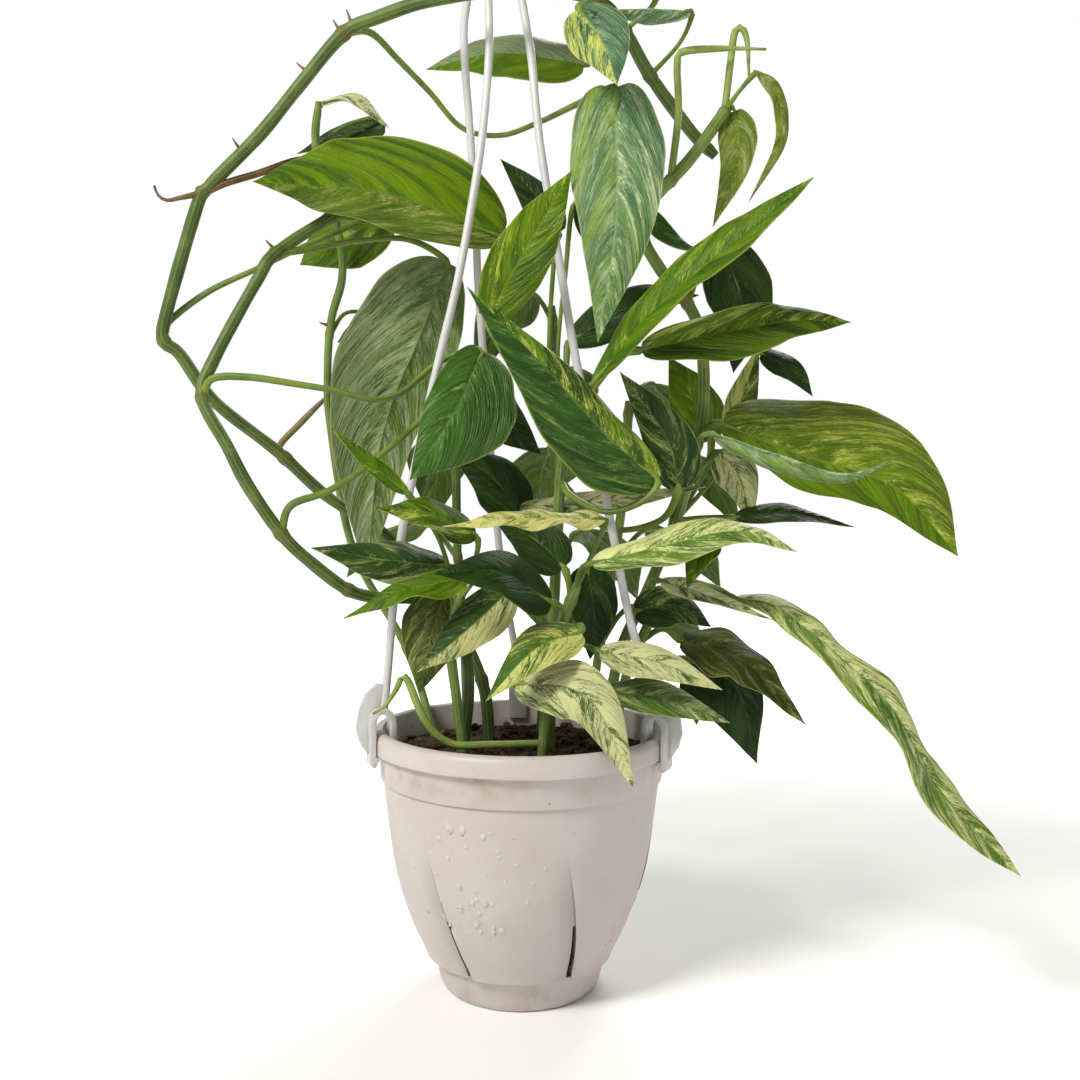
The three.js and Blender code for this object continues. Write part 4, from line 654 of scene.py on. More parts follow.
def hanger_finish():
    """Smooth white plastic with faint mould flow and a little dust."""
    made = Finish("hanger_plastic_white")
    flow = made.noise(made.place(), 55.0, 3.0)
    dust = made.noise(made.place(), 500.0, 4.0)
    skin = made.mix(made.step(flow, 0.35, 0.65), "#c1c0bd", "#b9b8b6")
    skin = made.mix(made.times(made.step(dust, 0.6, 0.75), 0.3), skin, "#cbc6be")
    made.bump(flow, 0.1, 0.0003)
    return made.set(base_color=skin, roughness=made.step(dust, 0.3, 0.7, 0.28, 0.4), specular_ior_level=0.5)


def soil_finish(name, dark, light, fleck):
    """Damp potting soil: fibres, crumbs and pale flecks."""
    made = Finish(name)
    clump = made.noise(made.place(), 130.0, 6.0, 0.7)
    crumb = made.cells(420.0)
    body = made.mix(made.step(clump, 0.3, 0.7), dark, light)
    body = made.mix(made.times(made.step(crumb, 0.5, 0.1), 0.35), body, light)
    body = made.mix(made.step(made.noise(made.place(), 240.0, 2.0), 0.68, 0.74), body, fleck)
    made.bump(made.plus(clump, crumb), 0.9, 0.001)
    return made.set(base_color=body, roughness=made.step(clump, 0.3, 0.7, 0.75, 0.98), specular_ior_level=0.3)


def water_finish():
    """Clear water on pale plastic: nearly the pot's own colour, with a wet shine."""
    made = Finish("water_drop")
    cloud = made.noise(made.place(), 200.0)
    made.bump(cloud, 0.05, 0.0002)
    return made.set(base_color=made.mix(made.step(cloud, 0.4, 0.6), "#c6bcb6", "#beb4ae"), roughness=0.06,
        ior=1.33, specular_ior_level=0.6)


class Route:
    """A smooth curve through points, the same spline as in the part's source."""

    def __init__(self, points):
        self.points = [Vector(p) for p in points]
        steps = 20 * (len(self.points) - 1)
        self.samples = [self.at(i / steps) for i in range(steps + 1)]
        self.marks = [0.0]
        for a, b in zip(self.samples, self.samples[1:]):
            self.marks.append(self.marks[-1] + (b - a).length)
        self.length = self.marks[-1]

    def at(self, t):
        points = self.points
        last = len(points) - 1
        place = min(max(t, 0.0), 1.0) * last
        i = min(int(place), last - 1)
        w = place - i
        p1, p2 = points[i], points[i + 1]
        p0 = points[i - 1] if i > 0 else 2 * p1 - p2
        p3 = points[i + 2] if i + 2 <= last else 2 * p2 - p1
        m1, m2 = (p2 - p0) / 2, (p3 - p1) / 2
        return (p1 + m1 * w + (3 * (p2 - p1) - 2 * m1 - m2) * w ** 2
            + (2 * (p1 - p2) + m1 + m2) * w ** 3)

    def along(self, t):
        step = 1e-4
        return (self.at(t + step) - self.at(t - step)).normalized()

    def at_length(self, distance):
        """The point that far along the curve, and the direction there."""
        distance = min(max(distance, 0.0), self.length)
        i = 1
        while i < len(self.marks) - 1 and self.marks[i] < distance:
            i += 1
        span = self.marks[i] - self.marks[i - 1]
        share = (distance - self.marks[i - 1]) / span if span else 0.0
        a, b = self.samples[i - 1], self.samples[i]
        return a.lerp(b, share), (b - a).normalized()

    def nearest(self, point):
        """How far along the curve it passes closest to point."""
        best = min(range(len(self.samples)), key=lambda i: (self.samples[i] - point).length)
        return self.marks[best]


def pick(*pieces):
    """Selects the pieces alone, the first one active."""
    bpy.ops.object.select_all(action="DESELECT")
    for piece in pieces:
        piece.select_set(True)
    if pieces:
        bpy.context.view_layer.objects.active = pieces[0]


def edit(piece, *steps):
    """Runs the steps on all of the piece's mesh in edit mode."""
    pick(piece)
    bpy.ops.object.mode_set(mode="EDIT")
    bpy.ops.mesh.select_all(action="SELECT")
    for step in steps:
        step()
    bpy.ops.object.mode_set(mode="OBJECT")


def face_outwards():
    bpy.ops.mesh.select_all(action="SELECT")
    bpy.ops.mesh.normals_make_consistent(inside=False)


def weld(piece, distance=1e-6):
    edit(piece, lambda: bpy.ops.mesh.remove_doubles(threshold=distance), face_outwards)


def apply_modifier(piece, kind, **settings):
    pick(piece)
    modifier = piece.modifiers.new(kind.title(), kind)
    for key, value in settings.items():
        setattr(modifier, key, value)
    bpy.ops.object.modifier_apply(modifier=modifier.name)


def shaded(piece, angle=50):
    pick(piece)
    bpy.ops.object.shade_smooth_by_angle(angle=math.radians(angle))
    return piece


def joined(name, pieces):
    """Several pieces made one, with the first one's origin."""
    pick(*pieces)
    if len(pieces) > 1:
        bpy.ops.object.join()
    pieces[0].name = name
    return pieces[0]


def finished(piece, finish, name=None):
    """The piece with its place, turn and size in its mesh, in its finish."""
    bpy.ops.object.transform_apply(location=True, rotation=True, scale=True)
    piece.data.materials.append(finish)
    if name:
        piece.name = name
        piece.data.name = name
    return piece


def hand_over(piece, node):
    """Puts a finished piece in the frame: it rides on the part and stands for its node."""
    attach(piece, "root")
    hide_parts(node)


def new_sheet(name, rows, columns, place, finish, chart, scar=None):
    """A grid primitive with each vertex moved to place(u, v); chart and scar fill its UV and marks."""
    pick()
    bpy.ops.mesh.primitive_grid_add(x_subdivisions=rows, y_subdivisions=columns, size=1)
    piece = bpy.context.object
    mesh = piece.data
    piece.name = name
    mesh.name = name
    mesh.materials.append(finish)
    shares = [(v.co.x + 0.5, v.co.y + 0.5) for v in mesh.vertices]
    mesh.uv_layers[0].name = "place"
    mesh.uv_layers.new(name="veins")
    marks = mesh.attributes.new("scar", "FLOAT", "POINT").data
    for vertex, share in zip(mesh.vertices, shares):
        vertex.co = place(*share)
        marks[vertex.index].value = scar(share[0]) if scar else 0.0
    for face in mesh.polygons:
        middle = sum(shares[i][1] for i in face.vertices) / len(face.vertices)
        for loop in face.loop_indices:
            flat, veins = chart(*shares[mesh.loops[loop].vertex_index], middle)
            mesh.uv_layers["place"].data[loop].uv = flat
            mesh.uv_layers["veins"].data[loop].uv = veins
    weld(piece)
    return piece


def new_tube(name, curve, radius_at, finish, sides=10, step=0.003, up=(0, 0, 1), groove=0.0, scar_at=None):
    """A closed tube along curve, its radius from radius_at(distance), with a groove along its top."""
    count = min(max(round(curve.length / step), 4), 320)
    stations = [0.0] + [curve.length * i / count for i in range(count + 1)] + [curve.length]
    rows = len(stations) - 1
    frames = []
    side = None
    for i, station in enumerate(stations):
        point, along = curve.at_length(station)
        if side is None:
            side = Vector(up) - along * along.dot(Vector(up))
            side = side if side.length > 0.05 else along.orthogonal()
        side = (side - along * side.dot(along)).normalized()
        radius = 0.0 if i in (0, rows) else radius_at(station)
        frames.append((point, side, along.cross(side), radius))

    def place(u, v):
        point, top, beside, radius = frames[round(u * rows)]
        turn = TURN * v
        dent = 1 - groove * max(0.0, math.cos(turn)) ** 4
        return point + (top * math.cos(turn) + beside * math.sin(turn)) * radius * dent

    def chart(u, v, middle):
        spot = (stations[round(u * rows)] * 100, v)
        return spot, spot

    def scar(u):
        return scar_at(stations[round(u * rows)]) if scar_at else 0.0

    return new_sheet(name, rows, sides, place, finish, chart, scar)


def smooth_step(value, low, high):
    share = min(max((value - low) / (high - low), 0.0), 1.0)
    return share * share * (3 - 2 * share)


def hump(offset, width):
    """A smooth rise to 1 where offset is 0, about twice as wide as width."""
    return math.exp(-(offset / width) ** 2)


def outline(u, widest):
    """Half the blade's width along the rib: round at the base, long at the tip."""
    if u < widest:
        return math.sqrt(max(0.0, 1 - (1 - u / widest) ** 2))
    t = (u - widest) / (1 - widest)
    return (1 - t ** 1.6) ** 1.15


def blade_frame(curve, form, u):
    """The middle of the blade at u, the way along it, across it and up from it."""
    faces = form["face"]
    place = u * (len(faces) - 1)
    start = min(int(place), max(len(faces) - 2, 0))
    up = Vector(faces[start]).lerp(Vector(faces[min(start + 1, len(faces) - 1)]), place - start)
    along = curve.along(u)
    up = (up - along * up.dot(along)).normalized()
    return curve.at(u), along, along.cross(up), up


def new_blade(name, leaf, seed, finish, under):
    """A blade as the part's source forms it, with a sunk rib, puckers and a slightly uneven edge."""
    form = {**LEAF_FORM, **leaf}
    curve = Route(form["rib"])
    rows = min(max(round(curve.length / BLADE_STEP), 24), 84)
    columns = min(max(2 * round(form["width"] / BLADE_COLUMN), 10), 24)
    stations = [0.6 * e + 0.2 * (1 - math.cos(math.pi * e)) for e in (i / rows for i in range(rows + 1))]
    frames = [blade_frame(curve, form, u) for u in stations]

    def spread(row_share, column_share):
        """Where a vertex is: its row, u along the rib, v across the blade, and half the width there."""
        row = round(row_share * rows)
        u = stations[row]
        w = 2 * column_share - 1
        v = math.copysign(abs(w) ** EDGE_CROWDING, w)
        edge = noise.noise(Vector((u * 7 + seed, 3.1 * (v > 0), seed))) * 0.05
        half = form["width"] / 2 * outline(u, form["widest"]) * (1 + form["lean"] * v) * (1 + edge * abs(v))
        return row, u, v, half

    def place(row_share, column_share):
        row, u, v, half = spread(row_share, column_share)
        point, along, across, up = frames[row]
        share = outline(u, form["widest"])
        bend = form["roll"] * v
        # Curl and fold, the row's own wave, the sunk rib, puckers and a ruffled margin
        crown = -half * (1 - math.cos(bend)) / form["roll"] + form["fold"] * half * abs(v)
        phase = 0 if v > 0 else 2.1
        crown += form["wave"] * share * v ** 2 * math.sin(TURN * form["waves"] * u + phase)
        crown -= 0.0005 * share * hump(abs(v) * half, 0.0011)
        swell = Vector((u * curve.length * 60 + seed, v * half * 60, seed))
        crown += 0.0011 * share * noise.noise(swell)
        ruffle = Vector((u * curve.length / 0.021, 5.3 * (v > 0), seed * 1.7))
        crown += RUFFLE * share * abs(v) ** 2.5 * noise.noise(ruffle)
        lobe = form["lobe"] * form["width"] * max(0.0, 1 - u / form["widest"]) ** 2 * abs(v) * share
        spot = point + across * (half * math.sin(bend) / form["roll"]) + up * crown - along * lobe
        spot.y = max(spot.y, CAD_BOX[0][1] + BLADE_THICKNESS)
        return spot

    def chart(row_share, column_share, middle):
        """Vein coordinates in cm, with the half of the blade kept apart by a step of 40."""
        row, u, v, half = spread(row_share, column_share)
        half *= 100
        lateral = abs(v) * half
        vein = curve.length * u * 100 - VEIN_LEAN * lateral - VEIN_SWEEP * lateral ** 2 / max(half, 0.9)
        return (u, (v + 1) / 2), (vein + 7.3 * seed, lateral + (40 if middle > 0.5 else 0))

    piece = new_sheet(name, rows, columns, place, finish, chart)
    middle = min(piece.data.polygons, key=lambda f: (f.center - curve.at(0.5)).length)
    if middle.normal.dot(frames[rows // 2][3]) < 0:
        edit(piece, bpy.ops.mesh.flip_normals)
    piece.data.materials.append(under)
    apply_modifier(piece, "SOLIDIFY", thickness=BLADE_THICKNESS, offset=0, material_offset=1)
    return piece


def new_stalk(name, leaf, finish):
    """The stalk, thicker at both ends, that carries on as the rib under its blade."""
    radius = STALK_RADIUS * (NARROW_STALK if leaf.get("width", 1) <= NARROW_WIDTH else 1)
    if "rib" not in leaf:
        curve = Route(leaf["stalk"])
        return new_tube(name, curve,
            lambda d: radius * (0.35 + 0.65 * smooth_step(curve.length - d, 0, 0.04)), finish,
            scar_at=lambda d: smooth_step(d, curve.length - 0.006, curve.length))
    form = {**LEAF_FORM, **leaf}
    rib = Route(form["rib"])
    points = list(leaf["stalk"]) + [form["rib"][0]]
    stalk_length = Route(points).length
    for u in RIB_STATIONS:
        middle, along, across, up = blade_frame(rib, form, u)
        points.append(middle - up * (0.0009 - 0.0005 * u))
    curve = Route(points)

    def tapering(distance):
        past = min((distance - stalk_length) / (curve.length - stalk_length), 1.0)
        swell = 1 + 0.22 * hump(distance - stalk_length, 0.005)
        if past <= 0:
            return radius * (0.9 + 0.1 * math.cos(TURN * distance / stalk_length)) * swell
        return radius * swell * (0.52 * (1 - past) ** 1.2 * (1 - 0.35 * smooth_step(past, 0, 0.15)) + 0.08)

    return new_tube(name, curve, tapering, finish, up=form["face"][0], groove=0.22)


def stem_joints(stem, curve):
    """Where the stem has rings: at its leaves, and where it turns."""
    places = [curve.nearest(Vector(leaf["stalk"][0])) for leaf in stem["leaves"].values()]
    route = curve.points
    for a, b, c in zip(route, route[1:], route[2:]):
        if (b - a).angle(c - b) > math.radians(20):
            places.append(curve.nearest(b))
    kept = []
    for place in sorted(places):
        if 0.02 < place and (not kept or place - kept[-1] > 0.012):
            kept.append(place)
    return kept


def new_spur(curve, radius, spur, finish):
    """A dried root stub: a bent cone out of the vine's side, at a place and turn seen from the front."""
    x, z = metres(spur[:2])
    turn = math.radians(spur[2])
    foot = min((curve.at(i / 400) for i in range(401)), key=lambda p: math.hypot(p.x - x, p.z - z))
    out = Vector((math.cos(turn), -0.25, math.sin(turn))).normalized()
    reach = radius + 0.0042
    pick()
    bpy.ops.mesh.primitive_cone_add(vertices=9, radius1=0.0015, radius2=0.0003, depth=reach,
        location=foot + out * reach / 2, rotation=out.to_track_quat("Z", "Y").to_euler())
    piece = finished(bpy.context.object, finish)
    edit(piece, lambda: bpy.ops.mesh.subdivide(number_cuts=4))
    for vertex in piece.data.vertices:
        along = (vertex.co - foot).dot(out) / reach
        vertex.co += Vector((0, 0, 0.0016 * along ** 2))
    return piece


def new_stem(name, stem, finish):
    """A vine or stem: slightly fatter below each ring, with a corky scar at it."""
    route = [Vector(p) for p in stem["route"]]
    last = (route[-1] - route[-2]).normalized()
    foot = route[0] - Vector((0, 0, route[0].z - SOIL_TOP + ROOT_SINK))
    curve = Route([foot] + route[1:] + [route[-1] + last * 0.003])
    joints = stem_joints(stem, curve)

    def radius_at(distance):
        swell = sum(hump(distance - j, 0.0022) for j in joints)
        pinch = sum(hump(distance - j - 0.0045, 0.0015) for j in joints)
        tip = smooth_step(curve.length - distance, 0, 0.006)
        wave = 0.02 * math.sin(distance * 190) + 0.02 * math.sin(distance * 83 + 1)
        return stem["radius"] * (0.94 + 0.2 * swell - 0.05 * pinch + wave) * (0.75 + 0.25 * tip)

    def scar_at(distance):
        marks = [hump(distance - j - 0.001, 0.0009) for j in joints]
        return min(1.0, 0.75 * max(marks, default=0.0))

    return new_tube(name, curve, radius_at, finish, sides=14, step=0.0018, scar_at=scar_at)


def back_leaf(route, row):
    """A back leaf's short row gives it a stalk and a rib like the ones listed in front."""
    turn = math.radians(row[1])
    height, _, stalk, length, width, drop = metres(row)
    index = next(i for i, point in enumerate(route) if point[2] >= height)
    low, high = Vector(route[index - 1]), Vector(route[index])
    start = low.lerp(high, (height - low.z) / (high.z - low.z))
    away = Vector((math.cos(turn), math.sin(turn), 0))

    def out(reach, rise):
        return tuple(start + away * reach + Vector((0, 0, rise)))

    span = math.sqrt(length ** 2 - drop ** 2)
    return {
        "stalk": [tuple(start), out(stalk * 0.55, BACK_LIFT)],
        "rib": [out(stalk, BACK_LIFT + 0.004), out(stalk + span * 0.5, BACK_LIFT + 0.002 - drop * 0.25),
            out(stalk + span, BACK_LIFT + 0.004 - drop)],
        "face": [(away.x * 0.6, away.y * 0.6, 0.8)],
        "width": width,
        "wave": 0.002,
    }


def all_stems():
    """Every stem's row in metres, with the leaves' rows, in front and on the far side."""
    stems = {}
    for name, stem in STEMS.items():
        leaves = {leaf: in_metres(row) for leaf, row in stem["leaves"].items()}
        stems[name] = {**in_metres(stem), "leaves": leaves}
    for name, stem in BACK_STEMS.items():
        route = metres(stem["route"])
        leaves = {f"{name}_{i + 1}": back_leaf(route, row) for i, row in enumerate(stem["leaves"])}
        stems[name] = {"radius": BACK_RADIUS, "route": route, "leaves": leaves}
    return stems


def make_plant():
    """Every stem, and every leaf as a piece of its own with its stalk."""
    blades = {name: leaf_finish(f"leaf_{name}", *row) for name, row in FINISHES.items()}
    unders = {name: leaf_finish(f"underside_{name}", *row, vein=0.35, rough=0.5)
        for name, row in UNDERSIDES.items()}
    stalks = {name: stalk_finish(*row) for name, row in STALK_FINISHES.items()}
    seed = 0
    for stem_name, stem in all_stems().items():
        body = new_stem(stem_name + "_stem", stem, stalks["vine" if stem_name in DARK_VINES else "pale_vine"])
        spurs = [new_spur(Route(stem["route"]), stem["radius"], spur, stalks["dry_brown"])
            for spur in SPURS.get(stem_name, [])]
        hand_over(shaded(joined(body.name, [body] + spurs)), stem_name)
        for name, leaf in stem["leaves"].items():
            seed += 1
            stalk = new_stalk(name, leaf, stalks[STALK_OF.get(name, "stalk")])
            if "rib" in leaf:
                finish = blades[FINISH_OF.get(name, BACK_FINISHES[seed % len(BACK_FINISHES)])]
                under = unders["grey_back" if name == "grey_hanging" else "lime_streaked"]
                stalk = joined("leaf_" + name, [new_blade(name, leaf, seed, finish, under), stalk])
            hand_over(shaded(stalk), stem_name)


def lerp_table(table, at):
    """The value at that place in a table of (place, value), straight between its rows."""
    if at <= table[0][0]:
        return table[0][1]
    for (low, a), (high, b) in zip(table, table[1:]):
        if at <= high:
            return a + (b - a) * (at - low) / (high - low)
    return table[-1][1]


def smooth_bowl(height):
    """The bowl's table, eased so that its bends don't show."""
    spread = 0.007
    return sum(lerp_table(BOWL, height + spread * k) for k in (-1, -0.5, 0, 0.5, 1)) / 5


def panel_rise(height):
    return min(max((height - BAND_HEIGHT) / (PANEL_TOP - BAND_HEIGHT), 0.0), 1.0)


def panel_proud(height):
    """How far a panel's leading edge stands out at that height."""
    if height < BAND_HEIGHT:
        return 0.0
    return PANEL_PROUD * (1 - panel_rise(height)) ** 0.9


def panel_edge(height, panel=0):
    """The angle at which that panel begins, at that height."""
    return FIRST_PANEL + PANEL_TWIST * panel_rise(height) + TURN * panel / PANELS


def around(radius, angle, height):
    return Vector((radius * math.cos(angle), radius * math.sin(angle), height))


def new_lathe(name, profile, segments, finish, centre=0.0):
    """A profile of (radius, height) turned by extruding and scaling a ring, closed at both ends."""
    pick()
    bpy.ops.mesh.primitive_circle_add(vertices=segments, radius=profile[0][0], fill_type="NGON",
        location=(centre, 0, profile[0][1]))
    piece = finished(bpy.context.object, finish, name)

    def turned():
        for (radius, height), (next_radius, next_height) in zip(profile, profile[1:]):
            lift = (0, 0, next_height - height)
            bpy.ops.mesh.extrude_region_move(TRANSFORM_OT_translate={"value": lift})
            share = next_radius / radius
            bpy.ops.transform.resize(value=(share, share, 1), center_override=(centre, 0, next_height))

    edit(piece, turned, face_outwards)
    return piece


def bowl_profile():
    """From the base up the outside, over the rim and down the inside to the floor."""
    outside = [(BASE_RADIUS - 0.012, 0.0008), (BASE_RADIUS - 0.010, 0), (BASE_RADIUS - 0.001, 0),
        (BASE_RADIUS, 0.0004), (BASE_RADIUS + 0.0012, 0.0016), (BASE_RADIUS + 0.003, 0.005),
        (BAND_RADIUS - 0.0003, BAND_HEIGHT - 0.0005), (BAND_RADIUS, BAND_HEIGHT)]
    steps = int((COLLAR_FOOT - BAND_HEIGHT) / BOWL_STEP)
    heights = [BAND_HEIGHT + 0.0003 + BOWL_STEP * i for i in range(steps)]
    wall = [(smooth_bowl(height), height) for height in heights + [COLLAR_FOOT]]
    upper = [(COLLAR_RADIUS - 0.0002, COLLAR_FOOT + 0.0002), (COLLAR_RADIUS, COLLAR_FOOT + 0.0008),
        (MOUTH_RADIUS + 0.0025, LIP_HEIGHT - 0.0006), (MOUTH_RADIUS + 0.0031, LIP_HEIGHT),
        (RIM_RADIUS - 0.0008, LIP_HEIGHT), (RIM_RADIUS - 0.0001, LIP_HEIGHT + 0.0005),
        (RIM_RADIUS, LIP_HEIGHT + 0.0016), (RIM_RADIUS, POT_HEIGHT - 0.0042),
        (RIM_RADIUS - 0.0004, POT_HEIGHT - 0.0022), (RIM_RADIUS - 0.0014, POT_HEIGHT - 0.0008),
        (RIM_RADIUS - 0.0028, POT_HEIGHT), (MOUTH_RADIUS + 0.0014, POT_HEIGHT),
        (MOUTH_RADIUS + 0.0005, POT_HEIGHT - 0.0004), (MOUTH_RADIUS, POT_HEIGHT - 0.0015)]
    inside = [(r, z) for z, r in reversed(SIDES_INSIDE)]
    return outside + wall + upper + inside + [(0.02, FLOOR)]


def new_slot_cutter(panel, finish):
    """The narrow wedge left of a proud edge: a cube whose corners are moved to it."""
    pick()
    bpy.ops.mesh.primitive_cube_add(size=1)
    cutter = finished(bpy.context.object, finish)
    edit(cutter, lambda: bpy.ops.mesh.subdivide(number_cuts=3))
    for vertex in cutter.data.vertices:
        height = SLOT_FOOT + (SLOT_TOP - SLOT_FOOT) * (vertex.co.z + 0.5)
        width = SLOT_WIDTH * (PANEL_TOP - height) / (PANEL_TOP - BAND_HEIGHT)
        radius = lerp_table(BOWL, height)
        angle = panel_edge(height, panel) + (vertex.co.y - 0.5) * width / radius
        vertex.co = around(radius + 0.006 * vertex.co.x * 2, angle, height)
    return cutter


def make_pot(finish):
    """The louvred pot: a turned bowl, its panels' edges pulled proud, and the slots cut through."""
    columns = PANEL_COLUMNS + 1
    pot = new_lathe("pot_shell", bowl_profile(), PANELS * columns, finish)
    for vertex in pot.data.vertices:
        radius = math.hypot(vertex.co.x, vertex.co.y)
        if radius < 1e-6:
            continue
        height = vertex.co.z
        place = round((math.atan2(vertex.co.y, vertex.co.x) % TURN) / TURN * PANELS * columns)
        panel, column = divmod(place % (PANELS * columns), columns)
        across = column / PANEL_COLUMNS
        outside = radius > lerp_table(SIDES_INSIDE, height) + 0.001
        reach = radius + (panel_proud(height) * (1 - across) if outside else 0.0)
        vertex.co = around(reach, panel_edge(height, panel + across), height)
    weld(pot, distance=2e-6)
    cutters = joined("slots", [new_slot_cutter(panel, finish) for panel in range(PANELS)])
    weld(cutters)
    apply_modifier(pot, "BOOLEAN", object=cutters, operation="DIFFERENCE", solver="EXACT")
    bpy.data.objects.remove(cutters, do_unlink=True)
    hand_over(shaded(pot, 32), "pot")


def make_drops(finish):
    """Water beads on the pot's front left, each a flattened ball on the wall."""
    rng = random.Random(8)
    drops = []
    for _ in range(DROPS):
        height = rng.uniform(0.045, 0.112)
        angle = math.radians(-90 + rng.gauss(-20, 13))
        size = rng.choice(DROP_SIZES) * rng.uniform(0.8, 1.2)
        across = ((angle - panel_edge(height)) % (TURN / PANELS)) / (TURN / PANELS)
        reach = smooth_bowl(height) + panel_proud(height) * (1 - across)
        pick()
        bpy.ops.mesh.primitive_uv_sphere_add(segments=12, ring_count=8, radius=size,
            location=around(reach, angle, height), rotation=(0, math.radians(90), angle))
        drop = bpy.context.object
        drop.scale = (rng.uniform(0.9, 1.7), rng.uniform(0.8, 1.5), 0.34)
        drops.append(finished(drop, finish))
    beads = shaded(joined("water_drops", drops), 60)
    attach(beads, "root")


def new_crumb(pattern, rng, spot, size, finish):
    """A copy of the pattern, turned and stretched at random, with a mesh of its own."""
    crumb = pattern.copy()
    crumb.data = pattern.data.copy()
    bpy.context.collection.objects.link(crumb)
    turn = Matrix.Rotation(rng.uniform(0, TURN), 4, Vector((rng.random(), rng.random(), 1)).normalized())
    stretch = Matrix.Diagonal((rng.uniform(0.7, 1.6), 1, rng.uniform(0.5, 0.9), 1))
    crumb.data.transform(Matrix.Translation(spot) @ turn @ stretch @ Matrix.Scale(size, 4))
    crumb.data.materials.append(finish)
    return crumb


def make_soil(finish, crumbs_finish):
    """Soil that fills the pot, with a clumpy top and loose crumbs."""
    rng = random.Random(5)
    top_radius = SIDES_INSIDE[-1][1] - SOIL_GAP
    side = [(r - SOIL_GAP, max(z, FLOOR + 0.0003)) for z, r in SIDES_INSIDE]
    top = [(top_radius * (1 - i / SOIL_RINGS), SOIL_TOP - 0.0015) for i in range(SOIL_RINGS)]
    soil = new_lathe("soil_bed", side + top, 96, finish)
    for vertex in soil.data.vertices:
        if vertex.co.z < SOIL_TOP - 0.002:
            continue
        spot = Vector((vertex.co.x, vertex.co.y, 0))
        lump = 0.0012 * noise.noise(spot * 90) + 0.0012 * noise.noise(spot * 260)
        lump += 0.0008 * noise.noise(spot * 600)
        vertex.co.z += lump * smooth_step(top_radius - spot.length, 0, 0.006)
    hand_over(shaded(soil, 70), "soil")
    spots = []
    for _ in range(CRUMBS):
        radius = top_radius * 0.97 * math.sqrt(rng.random())
        angle = rng.uniform(0, TURN)
        size = rng.choice(CRUMB_SIZES) * rng.uniform(0.7, 1.2)
        spots.append((around(radius, angle, SOIL_TOP - 0.0008 + 0.3 * size), size))
    for panel in range(PANELS):
        for _ in range(SLOT_CRUMBS):
            height = rng.uniform(SLOT_FOOT + 0.002, SLOT_FOOT + 0.015)
            radius = lerp_table(SIDES_INSIDE, height) + rng.uniform(0.0004, 0.0016)
            angle = panel_edge(height, panel) - rng.uniform(0.1, 0.9) * SLOT_WIDTH / 2 / radius
            spots.append((around(radius, angle, height), rng.uniform(0.0005, 0.0009)))
    pick()
    bpy.ops.mesh.primitive_ico_sphere_add(subdivisions=1, radius=1)
    pattern = bpy.context.object
    crumbs = [new_crumb(pattern, rng, spot, size, crumbs_finish) for spot, size in spots]
    bpy.data.objects.remove(pattern, do_unlink=True)
    hand_over(shaded(joined("soil_crumbs", crumbs), 30), "soil")


def new_plate(name, points, width, degrees, finish):
    """An outline in the radial plane, extruded to its width and turned to its place on the rim."""
    pick()
    bpy.ops.mesh.primitive_circle_add(vertices=len(points), radius=0.01, fill_type="NGON")
    plate = finished(bpy.context.object, finish, name)
    for vertex, (reach, height) in zip(plate.data.vertices, points):
        vertex.co = (reach, width / 2, height)
    extrude = {"value": (0, -width, 0)}
    edit(plate, lambda: bpy.ops.mesh.extrude_region_move(TRANSFORM_OT_translate=extrude), face_outwards)
    plate.data.transform(Matrix.Rotation(math.radians(degrees), 4, "Z"))
    apply_modifier(plate, "BEVEL", width=0.0005, segments=2, limit_method="ANGLE")
    return plate


def bent(start, control, end, count=8):
    """Points of a quadratic bend, without its start."""
    shares = [i / count for i in range(1, count + 1)]
    return [tuple((1 - t) ** 2 * a + 2 * t * (1 - t) * b + t ** 2 * c for a, b, c in zip(start, control, end))
        for t in shares]


def clip_outline():
    """The inverted U that hooks over the rim and in under its lip."""
    rim = RIM_RADIUS + 0.0004
    points = [(0.0736, 0.1375), (0.0742, 0.154)]
    points += bent((0.0742, 0.154), (0.075, 0.1625), (0.082, 0.163))
    points += bent((0.082, 0.163), (0.089, 0.1625), (0.0892, 0.154))
    points += [(0.0888, 0.133)] + bent((0.0888, 0.133), (0.088, 0.130), (0.0856, 0.1304), 4)
    points += [(0.0829, 0.1359), (rim, LIP_HEIGHT - 0.0004), (rim, 0.154)]
    points += bent((rim, 0.154), (0.0848, 0.1592), (0.082, 0.1594), 6)
    points += bent((0.082, 0.1594), (0.078, 0.1592), (0.0775, 0.154), 6)
    return points + [(0.0775, 0.147), (0.0767, 0.1375)]


def make_strand(name, curve, finish):
    """A strand with its faint moulding rings, and the clip and fin at its foot."""
    rings = [curve.length * share for share in (0.18, 0.42, 0.7)]

    def radius_at(distance):
        swell = sum(hump(distance - ring, 0.0012) for ring in rings)
        return STRAND_RADIUS * (0.97 + 0.06 * swell + 0.1 * hump(distance, 0.008))

    strand = new_tube(name + "_cord", curve, radius_at, finish, sides=16, step=0.0015)
    clip = new_plate("clip", clip_outline(), CLIP_WIDTH, CLIP_AT[name], finish)
    fin = new_plate("fin", FIN, FIN_WIDTH, CLIP_AT[name], finish)
    hand_over(shaded(joined(name + "_and_clip", [strand, clip, fin]), 35), name)


